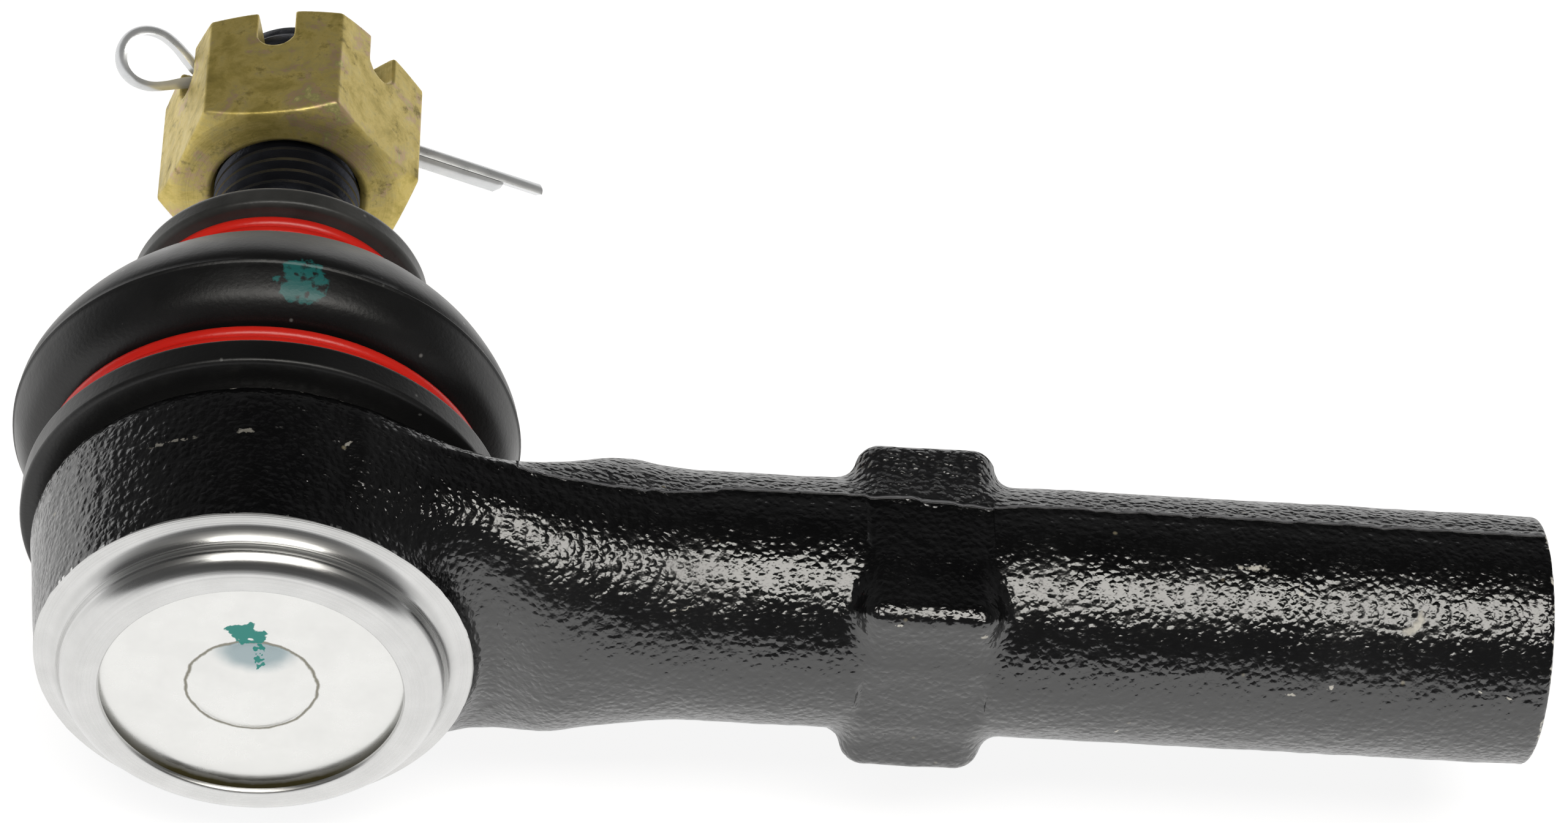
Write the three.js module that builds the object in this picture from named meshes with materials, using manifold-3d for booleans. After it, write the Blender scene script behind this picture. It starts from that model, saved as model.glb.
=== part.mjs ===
// A steering tie rod end: a forged socket with a threaded shank, and a ball stud that swings in it
// behind a rubber boot. The stud carries a slotted nut, which a split pin locks.
// Millimetres. Inside the socket group the stud points along +Z and the shank along +X, with the
// outer face of the closing plate at Z = 0. The finished part lies down: the stud points along +Y,
// the shank along +X, and the origin is the middle of the button on the closing plate.
import * as THREE from "three";
import { mergeVertices } from "three/addons/utils/BufferGeometryUtils.js";
import Module from "manifold-3d";

// ---- driving dimensions ----
const GAP = 0.3; // clearance between pieces that seat on each other
const BALL_RADIUS = 10.3;
const BEARING_WALL = 3; // resin seat, between the ball and the bore
const BALL_CLEARANCE = 1.5; // under the ball, above the closing plate
const TILT_LIMIT = 25; // degrees that the stud swings each way
const SOCKET_WALL = 5.5; // around the bearing cavity, at the machined shoulder
const SOCKET_DRAFT = 1.1; // how much wider the forging is at its parting line
const SOCKET_ROUND = 3.2; // radius between the forging's side and its top
const SHOULDER_HEIGHT = 2.7; // machined shoulder, above the closing plate's face
const SHOULDER_LEDGE = 1; // flat of the shoulder, outside the hollow fillet
const LIP_OVERLAP = 1.5; // how far the rolled lip reaches over the closing plate
const LIP_ROUND = 1.1; // radius of the rolled edge
const COVER_LEDGE = 1; // step that the closing plate seats on
const COVER_THICKNESS = 1.8;
const BUTTON_RADIUS = 5.7; // raised button in the middle of the closing plate
const BUTTON_HEIGHT = 0.6;
const COLLAR_RADIUS = 17.4; // turned collar that the boot grips
const COLLAR_HEIGHT = 6.3; // above the forged top face
const SHANK_RADIUS = 11.4;
const SHANK_END = 115.7; // end face, from the stud's axis
const NECK_START = 9; // inside the socket
const NECK_END = 38; // where the neck is as round as the shank
const THREAD_BORE_RADIUS = 7.2; // core of the M16 x 1.5 thread in the shank
const THREAD_BORE_DEPTH = 55;
const FLATS_ACROSS = 21.5; // square wrench section on the shank
const FLATS_START = 53.6;
const FLATS_LENGTH = 11.4;
const FLATS_CORNER = 1.6;
const FLATS_SLOPE = 2.5; // length of the slope at each end of the square
const NECK_RADIUS = 5.6; // stud, just above the ball
const TAPER_RADIUS = 8;
const THREAD_RADIUS = 7; // M14 x 1.5
const NUT_ACROSS = 22;
const NUT_HEIGHT = 14.5;
const NUT_ANGLE = -10.3; // degrees
const SLOT_DEPTH = 4.8;
const SLOT_SLACK = 0.7; // how much wider the slot is than the pin
const PIN_RADIUS = 1.45; // split pin, both legs together
const PIN_SHORT_LEG = 22; // from the stud's axis
const PIN_LONG_LEG = 27;
const PIN_ROLL = 42; // degrees that the pin's eye is turned about the pin
const EYE_LENGTH = 7.4;
const EYE_WIDTH = 6;
const BOOT_WALL = 1.8;
const BOOT_BULGE = 3.2; // how far the bulge stands out past the middle of the lower ring
const FLANGE_THICKNESS = 2.8;
const FLANGE_REACH = 2; // how far the flared lower lip stands out past the lower ring
const LOWER_GROOVE_WALL = 1.1; // rubber between the turned collar and the lower ring
const UPPER_GROOVE_WALL = 3.4; // rubber between the stud's taper and the upper ring
const UPPER_LIP_REACH = 2; // how far the upper lip stands out of its groove
const UPPER_LIP_THICKNESS = 2.4;
const RING_WIRE = 0.8; // radius of the coated retaining wire
const RING_TURNS = 2;
const RING_PITCH = 1.3; // from turn to turn

// heights above the ball's centre
const SOCKET_TOP_ABOVE = 4.7; // forged top face, under the boot
const BOOT_WIDEST_ABOVE = 16.4;
const UPPER_LIP_TOP_ABOVE = 35.4;
const TAPER_START_ABOVE = 28.4;
const THREAD_START_ABOVE = 41.9;
const NUT_SEAT_ABOVE = 48.4; // nut's bearing face
const STUD_TOP_ABOVE = 66.3;

// ---- derived sizes ----
const rad = THREE.MathUtils.degToRad;
const SEAT_RADIUS = BALL_RADIUS + GAP;
const BEARING_RADIUS = SEAT_RADIUS + BEARING_WALL;
const CAVITY_RADIUS = BEARING_RADIUS + GAP;
const COVER_RADIUS = CAVITY_RADIUS + COVER_LEDGE;
const COVER_SEAT_RADIUS = COVER_RADIUS + GAP;
const LIP_INNER_RADIUS = COVER_RADIUS - LIP_OVERLAP;
const SOCKET_RADIUS = CAVITY_RADIUS + SOCKET_WALL;
const SOCKET_WIDEST = SOCKET_RADIUS + SOCKET_DRAFT;
const BALL_HEIGHT = COVER_THICKNESS + BALL_CLEARANCE + BALL_RADIUS; // and the shank's axis
const SOCKET_TOP = BALL_HEIGHT + SOCKET_TOP_ABOVE;
const COLLAR_TOP = SOCKET_TOP + COLLAR_HEIGHT;
const BEARING_TOP = BALL_HEIGHT + BALL_RADIUS / 2;
const TAPER_START = BALL_HEIGHT + TAPER_START_ABOVE;
const THREAD_START = BALL_HEIGHT + THREAD_START_ABOVE;
const STUD_TOP = BALL_HEIGHT + STUD_TOP_ABOVE;
const NUT_SEAT = BALL_HEIGHT + NUT_SEAT_ABOVE;
const LOWER_RING_RADIUS = COLLAR_RADIUS + LOWER_GROOVE_WALL + 2 * GAP + RING_WIRE; // middle of the wire
const UPPER_RING_RADIUS = TAPER_RADIUS + UPPER_GROOVE_WALL + 2 * GAP + RING_WIRE;
const GROOVE_HEIGHT = (RING_TURNS - 1) * RING_PITCH + 2 * RING_WIRE + 2 * GAP;
const FLANGE_BOTTOM = SOCKET_TOP + GAP;
const FLANGE_TOP = FLANGE_BOTTOM + FLANGE_THICKNESS;
const FLANGE_RADIUS = LOWER_RING_RADIUS + FLANGE_REACH;
const BOOT_RADIUS = LOWER_RING_RADIUS + BOOT_BULGE;
const BOOT_WIDEST = BALL_HEIGHT + BOOT_WIDEST_ABOVE;
const UPPER_LIP_TOP = BALL_HEIGHT + UPPER_LIP_TOP_ABOVE;
const UPPER_LIP_BOTTOM = UPPER_LIP_TOP - UPPER_LIP_THICKNESS;
const UPPER_LIP_RADIUS = TAPER_RADIUS + UPPER_GROOVE_WALL + GAP + UPPER_LIP_REACH;
const SLOT_WIDTH = 2 * PIN_RADIUS + SLOT_SLACK;
const SLOT_BOTTOM = NUT_SEAT + NUT_HEIGHT - SLOT_DEPTH;
const PIN_ANGLE = NUT_ANGLE + 30;
const PIN_HEIGHT = SLOT_BOTTOM + GAP + PIN_RADIUS;

// ---- solids ----
const wasm = await Module();
wasm.setup();

// A closed geometry as a solid, with its faces turned outwards.
function solid(geometry) {
  const bare = geometry.index ? geometry.toNonIndexed() : geometry.clone();
  bare.deleteAttribute("normal");
  bare.deleteAttribute("uv");
  const merged = mergeVertices(bare, 1e-3);
  const vertProperties = merged.attributes.position.array;
  const triVerts = new Uint32Array(merged.index.array);
  const made = new wasm.Manifold(new wasm.Mesh({ numProp: 3, vertProperties, triVerts }));
  if (made.volume() > 0) return made;
  triVerts.reverse();
  return new wasm.Manifold(new wasm.Mesh({ numProp: 3, vertProperties, triVerts }));
}

function geometryOf(made) {
  const mesh = made.getMesh();
  const positions = new THREE.BufferAttribute(Float32Array.from(mesh.vertProperties), 3);
  const indexed = new THREE.BufferGeometry().setAttribute("position", positions);
  indexed.setIndex(new THREE.BufferAttribute(mesh.triVerts, 1));
  const flat = indexed.toNonIndexed();
  flat.computeVertexNormals();
  return flat;
}

// A profile of [radius, height] points turned about Z.
function turned(profile, segments) {
  const points = profile.map(([r, z]) => new THREE.Vector2(r, z));
  return new THREE.LatheGeometry(points, segments).rotateX(Math.PI / 2);
}

function cylinder(radius, bottom, top, segments) {
  return turned([[0, bottom], [radius, bottom], [radius, top], [0, top]], segments);
}

// Points on an arc in the profile plane, from one angle to another in degrees.
function arc(r, z, radius, from, to, steps) {
  return Array.from({ length: steps + 1 }, (_, i) => {
    const angle = rad(from + ((to - from) * i) / steps);
    return [r + radius * Math.cos(angle), z + radius * Math.sin(angle)];
  });
}

function box(size, centre) {
  return new THREE.BoxGeometry(...size).translate(...centre);
}

// A solid through rings of equal length, with flat ends.
function loft(rings) {
  const count = rings[0].length;
  const positions = rings.flat();
  const index = [];
  for (let r = 0; r + 1 < rings.length; r += 1) {
    for (let i = 0; i < count; i += 1) {
      const a = r * count + i;
      const b = r * count + ((i + 1) % count);
      index.push(a, b, a + count, b, b + count, a + count);
    }
  }
  const last = (rings.length - 1) * count;
  for (let i = 1; i + 1 < count; i += 1) {
    index.push(0, i + 1, i);
    index.push(last, last + i, last + i + 1);
  }
  const geometry = new THREE.BufferGeometry();
  geometry.setAttribute("position", new THREE.Float32BufferAttribute(positions.flat(), 3));
  return geometry.setIndex(index);
}

function material(color, roughness, metalness) {
  return new THREE.MeshStandardMaterial({ color, roughness, metalness });
}

const blackPaint = material(0x101112, 0.35, 0);
const zincPlate = material(0xc9ccd0, 0.35, 1);
const goldPlate = material(0xb59a55, 0.35, 1);
const rubber = material(0x161617, 0.65, 0);
const redCoating = material(0xc8231c, 0.4, 0);
const resin = material(0xd8d4c6, 0.5, 0);
const springSteel = material(0x5b5e63, 0.4, 1);
const blackSteel = material(0x1b1c1f, 0.35, 0.8);

const socket = new THREE.Group();
function add(name, geometry, finish) {
  const mesh = new THREE.Mesh(geometry, finish);
  mesh.name = name;
  socket.add(mesh);
  return mesh;
}

// ---- housing ----
// The forged socket, drafted out to its parting line and rounded over at the top.
function forgedSocket() {
  return turned(
    [
      [0, SHOULDER_HEIGHT],
      [SOCKET_RADIUS, SHOULDER_HEIGHT],
      ...arc(SOCKET_WIDEST - SOCKET_ROUND, SOCKET_TOP - SOCKET_ROUND, SOCKET_ROUND, 0, 90, 5),
      [0, SOCKET_TOP],
    ],
    56,
  );
}

// The turned end: a shoulder, a hollow fillet, and the lip that is rolled over the closing plate.
function turnedEnd() {
  const wall = COVER_SEAT_RADIUS + LIP_ROUND;
  const reach = SOCKET_RADIUS - SHOULDER_LEDGE - wall;
  const hollow = Array.from({ length: 7 }, (_, i) => {
    const angle = rad(15 * i);
    return [wall + reach * (1 - Math.cos(angle)), SHOULDER_HEIGHT * Math.sin(angle)];
  });
  return turned(
    [
      [0, -LIP_ROUND],
      ...arc(COVER_SEAT_RADIUS, 0, LIP_ROUND, -90, -15, 3),
      ...hollow,
      [wall + reach, SHOULDER_HEIGHT + 1],
      [0, SHOULDER_HEIGHT + 1],
    ],
    56,
  );
}

// The neck between the socket and the shank: wide and low at the socket, where it passes under the
// boot, and round at the shank.
function neck() {
  const steps = 10;
  const low = SOCKET_TOP - BALL_HEIGHT;
  const rings = Array.from({ length: steps + 1 }, (_, i) => {
    const x = NECK_START + ((NECK_END - NECK_START) * i) / steps;
    const wide = (1 - i / steps) ** 1.4;
    const rise = THREE.MathUtils.smoothstep(x, FLANGE_RADIUS - 3, NECK_END - 4);
    const top = low + (SHANK_RADIUS - low) * rise;
    const bottom = SHANK_RADIUS + 0.9 * wide;
    const half = SHANK_RADIUS + 8 * wide;
    const square = 1 - 0.3 * wide;
    const bend = (value) => Math.sign(value) * Math.abs(value) ** square;
    return Array.from({ length: 40 }, (_, k) => {
      const angle = (k * 2 * Math.PI) / 40;
      const up = bend(Math.sin(angle));
      return [x, half * bend(Math.cos(angle)), BALL_HEIGHT + (up > 0 ? top : bottom) * up];
    });
  });
  return loft(rings);
}

// A square section across the shank, with rounded corners.
function squareRing(x, half, corner) {
  const flat = half - corner;
  const points = [];
  for (const [sy, sz, turn] of [[1, 1, 0], [-1, 1, 90], [-1, -1, 180], [1, -1, 270]]) {
    for (let k = 0; k <= 4; k += 1) {
      const angle = rad(turn + 22.5 * k);
      const y = sy * flat + corner * Math.cos(angle);
      const z = sz * flat + corner * Math.sin(angle);
      points.push([x, y, BALL_HEIGHT + z]);
    }
  }
  return points;
}

function wrenchSquare() {
  const half = FLATS_ACROSS / 2;
  const end = FLATS_START + FLATS_LENGTH;
  return loft([
    squareRing(FLATS_START - FLATS_SLOPE, half * 0.76, FLATS_CORNER),
    squareRing(FLATS_START - 0.3, half, FLATS_CORNER),
    squareRing(end + 0.3, half, FLATS_CORNER),
    squareRing(end + FLATS_SLOPE, half * 0.76, FLATS_CORNER),
  ]);
}

// A round solid along the shank, from a profile of [radius, distance from the stud's axis].
function alongShank(profile, segments) {
  return turned(profile, segments).rotateY(Math.PI / 2).translate(0, 0, BALL_HEIGHT);
}

function housing() {
  const chamfer = 0.5;
  const shank = alongShank(
    [
      [0, NECK_END - 1],
      [SHANK_RADIUS, NECK_END - 1],
      [SHANK_RADIUS, SHANK_END - chamfer],
      [SHANK_RADIUS - chamfer, SHANK_END],
      [0, SHANK_END],
    ],
    48,
  );
  const mouth = 1.2;
  const bore = alongShank(
    [
      [0, SHANK_END - THREAD_BORE_DEPTH - 3],
      [THREAD_BORE_RADIUS, SHANK_END - THREAD_BORE_DEPTH],
      [THREAD_BORE_RADIUS, SHANK_END - mouth],
      [THREAD_BORE_RADIUS + mouth, SHANK_END],
      [THREAD_BORE_RADIUS + mouth, SHANK_END + 1],
      [0, SHANK_END + 1],
    ],
    32,
  );
  const flats = box(
    [FLATS_LENGTH, 4 * SHANK_RADIUS, 4 * SHANK_RADIUS],
    [FLATS_START + FLATS_LENGTH / 2, 0, BALL_HEIGHT],
  );
  // The stud leaves through a flared mouth that clears its neck at full swing.
  const flare = (height) => {
    const reach = (height - BALL_HEIGHT) * Math.tan(rad(TILT_LIMIT));
    return reach + NECK_RADIUS / Math.cos(rad(TILT_LIMIT)) + 2 * GAP;
  };
  const ceiling = BEARING_TOP + GAP;
  const aroundBall = Math.sqrt(SEAT_RADIUS ** 2 - (ceiling - BALL_HEIGHT) ** 2);
  const cavity = turned(
    [
      [0, -LIP_ROUND - 1],
      [LIP_INNER_RADIUS, -LIP_ROUND - 1],
      [LIP_INNER_RADIUS, -GAP - 0.36],
      [LIP_INNER_RADIUS + 0.4, -GAP],
      [COVER_SEAT_RADIUS, -GAP],
      [COVER_SEAT_RADIUS, COVER_THICKNESS],
      [CAVITY_RADIUS, COVER_THICKNESS],
      [CAVITY_RADIUS, ceiling],
      [Math.max(flare(ceiling), aroundBall), ceiling],
      [flare(COLLAR_TOP), COLLAR_TOP],
      [flare(COLLAR_TOP), COLLAR_TOP + 1],
      [0, COLLAR_TOP + 1],
    ],
    56,
  );
  const bootRoom = cylinder(FLANGE_RADIUS + 2 * GAP, SOCKET_TOP, SHANK_END / 2, 56);
  const collar = turned(
    [
      [0, SOCKET_TOP - 1],
      [COLLAR_RADIUS, SOCKET_TOP - 1],
      [COLLAR_RADIUS, COLLAR_TOP - 0.5],
      [COLLAR_RADIUS - 0.5, COLLAR_TOP],
      [0, COLLAR_TOP],
    ],
    56,
  );
  const turning = cylinder(SOCKET_WIDEST, -LIP_ROUND, SHOULDER_HEIGHT, 56);
  const forging = solid(forgedSocket())
    .add(solid(neck()))
    .subtract(solid(turning))
    .add(solid(turnedEnd()))
    .add(solid(shank))
    .subtract(solid(flats))
    .add(solid(wrenchSquare()))
    .subtract(solid(bootRoom))
    .add(solid(collar));
  return geometryOf(forging.subtract(solid(cavity)).subtract(solid(bore)));
}
add("housing", housing(), blackPaint);

// ---- what is inside the socket ----
function coverPlate() {
  const edge = 0.5;
  return turned(
    [
      [0, -BUTTON_HEIGHT],
      [BUTTON_RADIUS - edge, -BUTTON_HEIGHT],
      [BUTTON_RADIUS, 0],
      [COVER_RADIUS, 0],
      [COVER_RADIUS, COVER_THICKNESS],
      [BUTTON_RADIUS - edge, COVER_THICKNESS],
      [BUTTON_RADIUS - 2 * edge, COVER_THICKNESS - BUTTON_HEIGHT],
      [0, COVER_THICKNESS - BUTTON_HEIGHT],
    ],
    48,
  );
}
add("cover_plate", geometryOf(solid(coverPlate())), zincPlate);

const SPRING_BOTTOM = COVER_THICKNESS + GAP;
const SPRING_THICKNESS = 0.6;
const SPRING_CONE = 0.4; // how far the inner edge stands above the outer one
const LOWER_BEARING_BOTTOM = SPRING_BOTTOM + SPRING_THICKNESS + SPRING_CONE + GAP;
const SEAT_MOUTH = BALL_RADIUS * 0.65; // hole below the ball

function discSpring() {
  const outer = BEARING_RADIUS - GAP;
  const inner = SEAT_MOUTH + 1;
  return turned(
    [
      [outer, SPRING_BOTTOM],
      [outer, SPRING_BOTTOM + SPRING_THICKNESS],
      [inner, SPRING_BOTTOM + SPRING_THICKNESS + SPRING_CONE],
      [inner, SPRING_BOTTOM + SPRING_CONE],
      [outer, SPRING_BOTTOM],
    ],
    48,
  );
}
add("preload_spring", geometryOf(solid(discSpring())), springSteel);

// Angle about the ball's centre at which its seat reaches a height.
function seatAngle(height) {
  return THREE.MathUtils.radToDeg(Math.asin((height - BALL_HEIGHT) / SEAT_RADIUS));
}

function lowerBearing() {
  const top = BALL_HEIGHT - GAP / 2;
  const mouth = -THREE.MathUtils.radToDeg(Math.acos(SEAT_MOUTH / SEAT_RADIUS));
  const start = [SEAT_MOUTH, LOWER_BEARING_BOTTOM];
  return turned(
    [
      start,
      [BEARING_RADIUS, LOWER_BEARING_BOTTOM],
      [BEARING_RADIUS, top],
      ...arc(0, BALL_HEIGHT, SEAT_RADIUS, seatAngle(top), mouth, 6),
      start,
    ],
    48,
  );
}
add("lower_bearing", geometryOf(solid(lowerBearing())), resin);

function upperBearing() {
  const bottom = BALL_HEIGHT + GAP / 2;
  const start = [BEARING_RADIUS, bottom];
  return turned(
    [
      start,
      [BEARING_RADIUS, BEARING_TOP],
      ...arc(0, BALL_HEIGHT, SEAT_RADIUS, seatAngle(BEARING_TOP), seatAngle(bottom), 5),
      start,
    ],
    48,
  );
}
add("upper_bearing", geometryOf(solid(upperBearing())), resin);

// ---- stud ----
function ballStud() {
  const underside = -62; // degrees: the ball ends in a small flat
  const neckTop = BALL_HEIGHT + 15;
  const neckJoin = THREE.MathUtils.radToDeg(Math.acos((NECK_RADIUS + 0.5) / BALL_RADIUS));
  const chamfer = 1.2;
  const profile = [
    [0, BALL_HEIGHT + BALL_RADIUS * Math.sin(rad(underside))],
    ...arc(0, BALL_HEIGHT, BALL_RADIUS, underside, neckJoin, 12),
    [NECK_RADIUS, BALL_HEIGHT + BALL_RADIUS * Math.sin(rad(neckJoin)) + 1.2],
    [NECK_RADIUS, neckTop],
    [TAPER_RADIUS - 0.6, TAPER_START - 6],
    [TAPER_RADIUS, TAPER_START - 3.5],
    [TAPER_RADIUS, TAPER_START],
    [THREAD_RADIUS + 0.1, THREAD_START],
    [THREAD_RADIUS, THREAD_START + 0.5],
    [THREAD_RADIUS, STUD_TOP - chamfer],
    [THREAD_RADIUS - chamfer, STUD_TOP],
    [0, STUD_TOP],
  ];
  const hole = cylinder(PIN_RADIUS + GAP, -NUT_ACROSS, NUT_ACROSS, 20)
    .rotateY(Math.PI / 2)
    .rotateZ(rad(PIN_ANGLE))
    .translate(0, 0, PIN_HEIGHT);
  return solid(turned(profile, 40)).subtract(solid(hole));
}
add("ball_stud", geometryOf(ballStud()), blackSteel);

function castleNut() {
  const corner = NUT_ACROSS / 2 / Math.cos(Math.PI / 6);
  const top = NUT_SEAT + NUT_HEIGHT;
  const bevel = (corner - NUT_ACROSS / 2) * Math.tan(rad(30)) + 0.2;
  const facing = NUT_ACROSS / 2 - 0.3;
  const hexagon = new THREE.CylinderGeometry(corner, corner, NUT_HEIGHT, 6)
    .rotateX(Math.PI / 2)
    .translate(0, 0, NUT_SEAT + NUT_HEIGHT / 2);
  const bevels = turned(
    [
      [0, NUT_SEAT],
      [facing, NUT_SEAT],
      [corner + 0.1, NUT_SEAT + bevel],
      [corner + 0.1, top - bevel],
      [facing, top],
      [0, top],
    ],
    72,
  );
  const bore = cylinder(THREAD_RADIUS + GAP, NUT_SEAT - 1, top + 1, 36);
  let nut = solid(hexagon).intersect(solid(bevels)).subtract(solid(bore));
  for (let i = 0; i < 3; i += 1) {
    const angle = rad(60 * i);
    const half = SLOT_WIDTH / 2;
    const round = cylinder(half, -NUT_ACROSS, NUT_ACROSS, 24)
      .rotateY(Math.PI / 2)
      .translate(0, 0, SLOT_BOTTOM + half)
      .rotateZ(angle);
    const open = box([2 * NUT_ACROSS, SLOT_WIDTH, SLOT_DEPTH], [0, 0, SLOT_BOTTOM + half + SLOT_DEPTH / 2]);
    nut = nut.subtract(solid(round)).subtract(solid(open.rotateZ(angle)));
  }
  return nut;
}
const nut = add("castle_nut", geometryOf(castleNut()), goldPlate);
nut.rotation.z = rad(PIN_ANGLE);

// The split pin lies along X here, with its eye on the -X side in the XZ plane.
function cotterPin() {
  const wire = PIN_RADIUS * 0.55;
  const face = -NUT_ACROSS / 2 - GAP;
  const legs = cylinder(PIN_RADIUS, face - 1, PIN_SHORT_LEG, 16).rotateY(Math.PI / 2);
  const longer = cylinder(PIN_RADIUS, 0, PIN_LONG_LEG, 16).rotateY(Math.PI / 2);
  const upperHalf = box([2 * PIN_LONG_LEG, 2 * PIN_RADIUS, PIN_RADIUS], [0, 0, PIN_RADIUS / 2]);
  const middle = EYE_WIDTH / 2 - wire;
  const eye = new THREE.TorusGeometry(middle, wire, 10, 28)
    .rotateX(Math.PI / 2)
    .scale((EYE_LENGTH - 2 * wire) / (2 * middle), 1.3, 1)
    .translate(face - EYE_LENGTH / 2 + 0.8, 0, 0);
  return solid(legs)
    .add(solid(longer).intersect(solid(upperHalf)))
    .add(solid(eye));
}
const pin = add("cotter_pin", geometryOf(cotterPin()), zincPlate);
pin.rotation.order = "ZYX";
pin.rotation.set(rad(PIN_ROLL), 0, rad(PIN_ANGLE));
pin.position.z = PIN_HEIGHT;

// ---- boot ----
// Outside of the bulge, offset inwards by a wall.
function bulge(wall, steps) {
  const low = FLANGE_TOP + GROOVE_HEIGHT;
  const high = UPPER_LIP_BOTTOM - GROOVE_HEIGHT;
  const grooveRadius = LOWER_RING_RADIUS - RING_WIRE - GAP;
  const curve = new THREE.SplineCurve([
    new THREE.Vector2(grooveRadius - wall, low + 0.2),
    new THREE.Vector2(BOOT_RADIUS - 1.2 - wall, BOOT_WIDEST - 4),
    new THREE.Vector2(BOOT_RADIUS - wall, BOOT_WIDEST),
    new THREE.Vector2(BOOT_RADIUS - 1.5 - wall, BOOT_WIDEST + 4),
    new THREE.Vector2(BOOT_RADIUS - 4.8 - wall * 0.8, high - 4 - wall * 0.6),
    new THREE.Vector2(UPPER_RING_RADIUS - RING_WIRE + 1.2, high - wall),
  ]);
  return curve.getPoints(steps).map((p) => [p.x, p.y]);
}

function dustBoot() {
  const grip = COLLAR_RADIUS + GAP;
  const groove = LOWER_RING_RADIUS - RING_WIRE - GAP;
  const high = UPPER_LIP_BOTTOM - GROOVE_HEIGHT;
  const sealRadius = TAPER_RADIUS + GAP;
  const upperGroove = UPPER_RING_RADIUS - RING_WIRE - GAP;
  const edge = 0.4;
  const start = [grip, FLANGE_BOTTOM];
  const outside = [
    start,
    [FLANGE_RADIUS - edge, FLANGE_BOTTOM],
    [FLANGE_RADIUS, FLANGE_BOTTOM + edge],
    [FLANGE_RADIUS, FLANGE_TOP - edge],
    [FLANGE_RADIUS - edge, FLANGE_TOP],
    [groove, FLANGE_TOP],
    ...bulge(0, 11),
    [upperGroove, high],
    [upperGroove, UPPER_LIP_BOTTOM],
    [UPPER_LIP_RADIUS - edge, UPPER_LIP_BOTTOM],
    [UPPER_LIP_RADIUS, UPPER_LIP_BOTTOM + edge],
    [UPPER_LIP_RADIUS, UPPER_LIP_TOP - edge],
    [UPPER_LIP_RADIUS - edge, UPPER_LIP_TOP],
  ];
  const inside = bulge(BOOT_WALL, 8).reverse();
  const profile = [
    ...outside,
    [sealRadius, UPPER_LIP_TOP],
    [sealRadius, high - BOOT_WALL],
    ...inside,
    [grip, COLLAR_TOP + GAP],
    start,
  ];
  return turned(profile, 48);
}
add("dust_boot", geometryOf(solid(dustBoot())), rubber);

// A retaining ring: turns of coated wire side by side, in one piece.
function wireRing(radius, middle) {
  const inner = radius - RING_WIRE;
  const reach = ((RING_TURNS - 1) / 2) * RING_PITCH;
  const turns = Array.from({ length: RING_TURNS }, (_, turn) => middle - reach + turn * RING_PITCH);
  const low = [inner, middle - reach - RING_WIRE * 0.6];
  const high = [inner, middle + reach + RING_WIRE * 0.6];
  const outside = turns.flatMap((z) => arc(radius, z, RING_WIRE, -54, 54, 3));
  return turned([low, ...outside, high, low], 48);
}
const lowerRingHeight = FLANGE_TOP + GROOVE_HEIGHT / 2;
add("boot_lower_ring", geometryOf(solid(wireRing(LOWER_RING_RADIUS, lowerRingHeight))), redCoating);
const upperRingHeight = UPPER_LIP_BOTTOM - GROOVE_HEIGHT / 2;
add("boot_upper_ring", geometryOf(solid(wireRing(UPPER_RING_RADIUS, upperRingHeight))), redCoating);

// ---- the part, lying down ----
socket.rotation.x = -Math.PI / 2;
socket.position.y = BUTTON_HEIGHT;
const part = new THREE.Group();
part.add(socket);
export default part;
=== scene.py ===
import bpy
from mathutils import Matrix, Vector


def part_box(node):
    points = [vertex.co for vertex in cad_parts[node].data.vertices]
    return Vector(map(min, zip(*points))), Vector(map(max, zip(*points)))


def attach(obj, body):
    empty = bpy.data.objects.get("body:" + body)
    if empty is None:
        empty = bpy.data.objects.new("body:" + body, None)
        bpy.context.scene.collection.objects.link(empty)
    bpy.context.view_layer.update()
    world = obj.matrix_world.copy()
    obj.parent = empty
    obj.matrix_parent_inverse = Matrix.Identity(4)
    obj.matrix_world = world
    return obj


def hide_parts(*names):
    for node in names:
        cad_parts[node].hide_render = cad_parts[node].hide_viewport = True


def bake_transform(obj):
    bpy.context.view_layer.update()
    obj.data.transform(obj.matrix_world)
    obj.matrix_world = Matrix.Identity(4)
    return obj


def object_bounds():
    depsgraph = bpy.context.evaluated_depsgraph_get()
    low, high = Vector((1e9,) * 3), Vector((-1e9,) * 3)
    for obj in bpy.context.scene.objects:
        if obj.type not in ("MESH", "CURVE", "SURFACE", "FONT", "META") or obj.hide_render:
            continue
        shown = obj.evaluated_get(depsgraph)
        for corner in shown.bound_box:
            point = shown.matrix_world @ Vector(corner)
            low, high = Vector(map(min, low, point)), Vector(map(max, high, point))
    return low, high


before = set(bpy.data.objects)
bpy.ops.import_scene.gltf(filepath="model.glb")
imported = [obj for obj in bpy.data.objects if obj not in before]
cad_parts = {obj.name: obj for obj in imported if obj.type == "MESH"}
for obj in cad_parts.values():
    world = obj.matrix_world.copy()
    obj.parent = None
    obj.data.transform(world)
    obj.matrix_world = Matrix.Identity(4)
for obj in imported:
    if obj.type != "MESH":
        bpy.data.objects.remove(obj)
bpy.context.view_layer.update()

import bmesh
import bpy
import numpy as np
import openvdb
from mathutils import Matrix, Vector, noise

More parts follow.
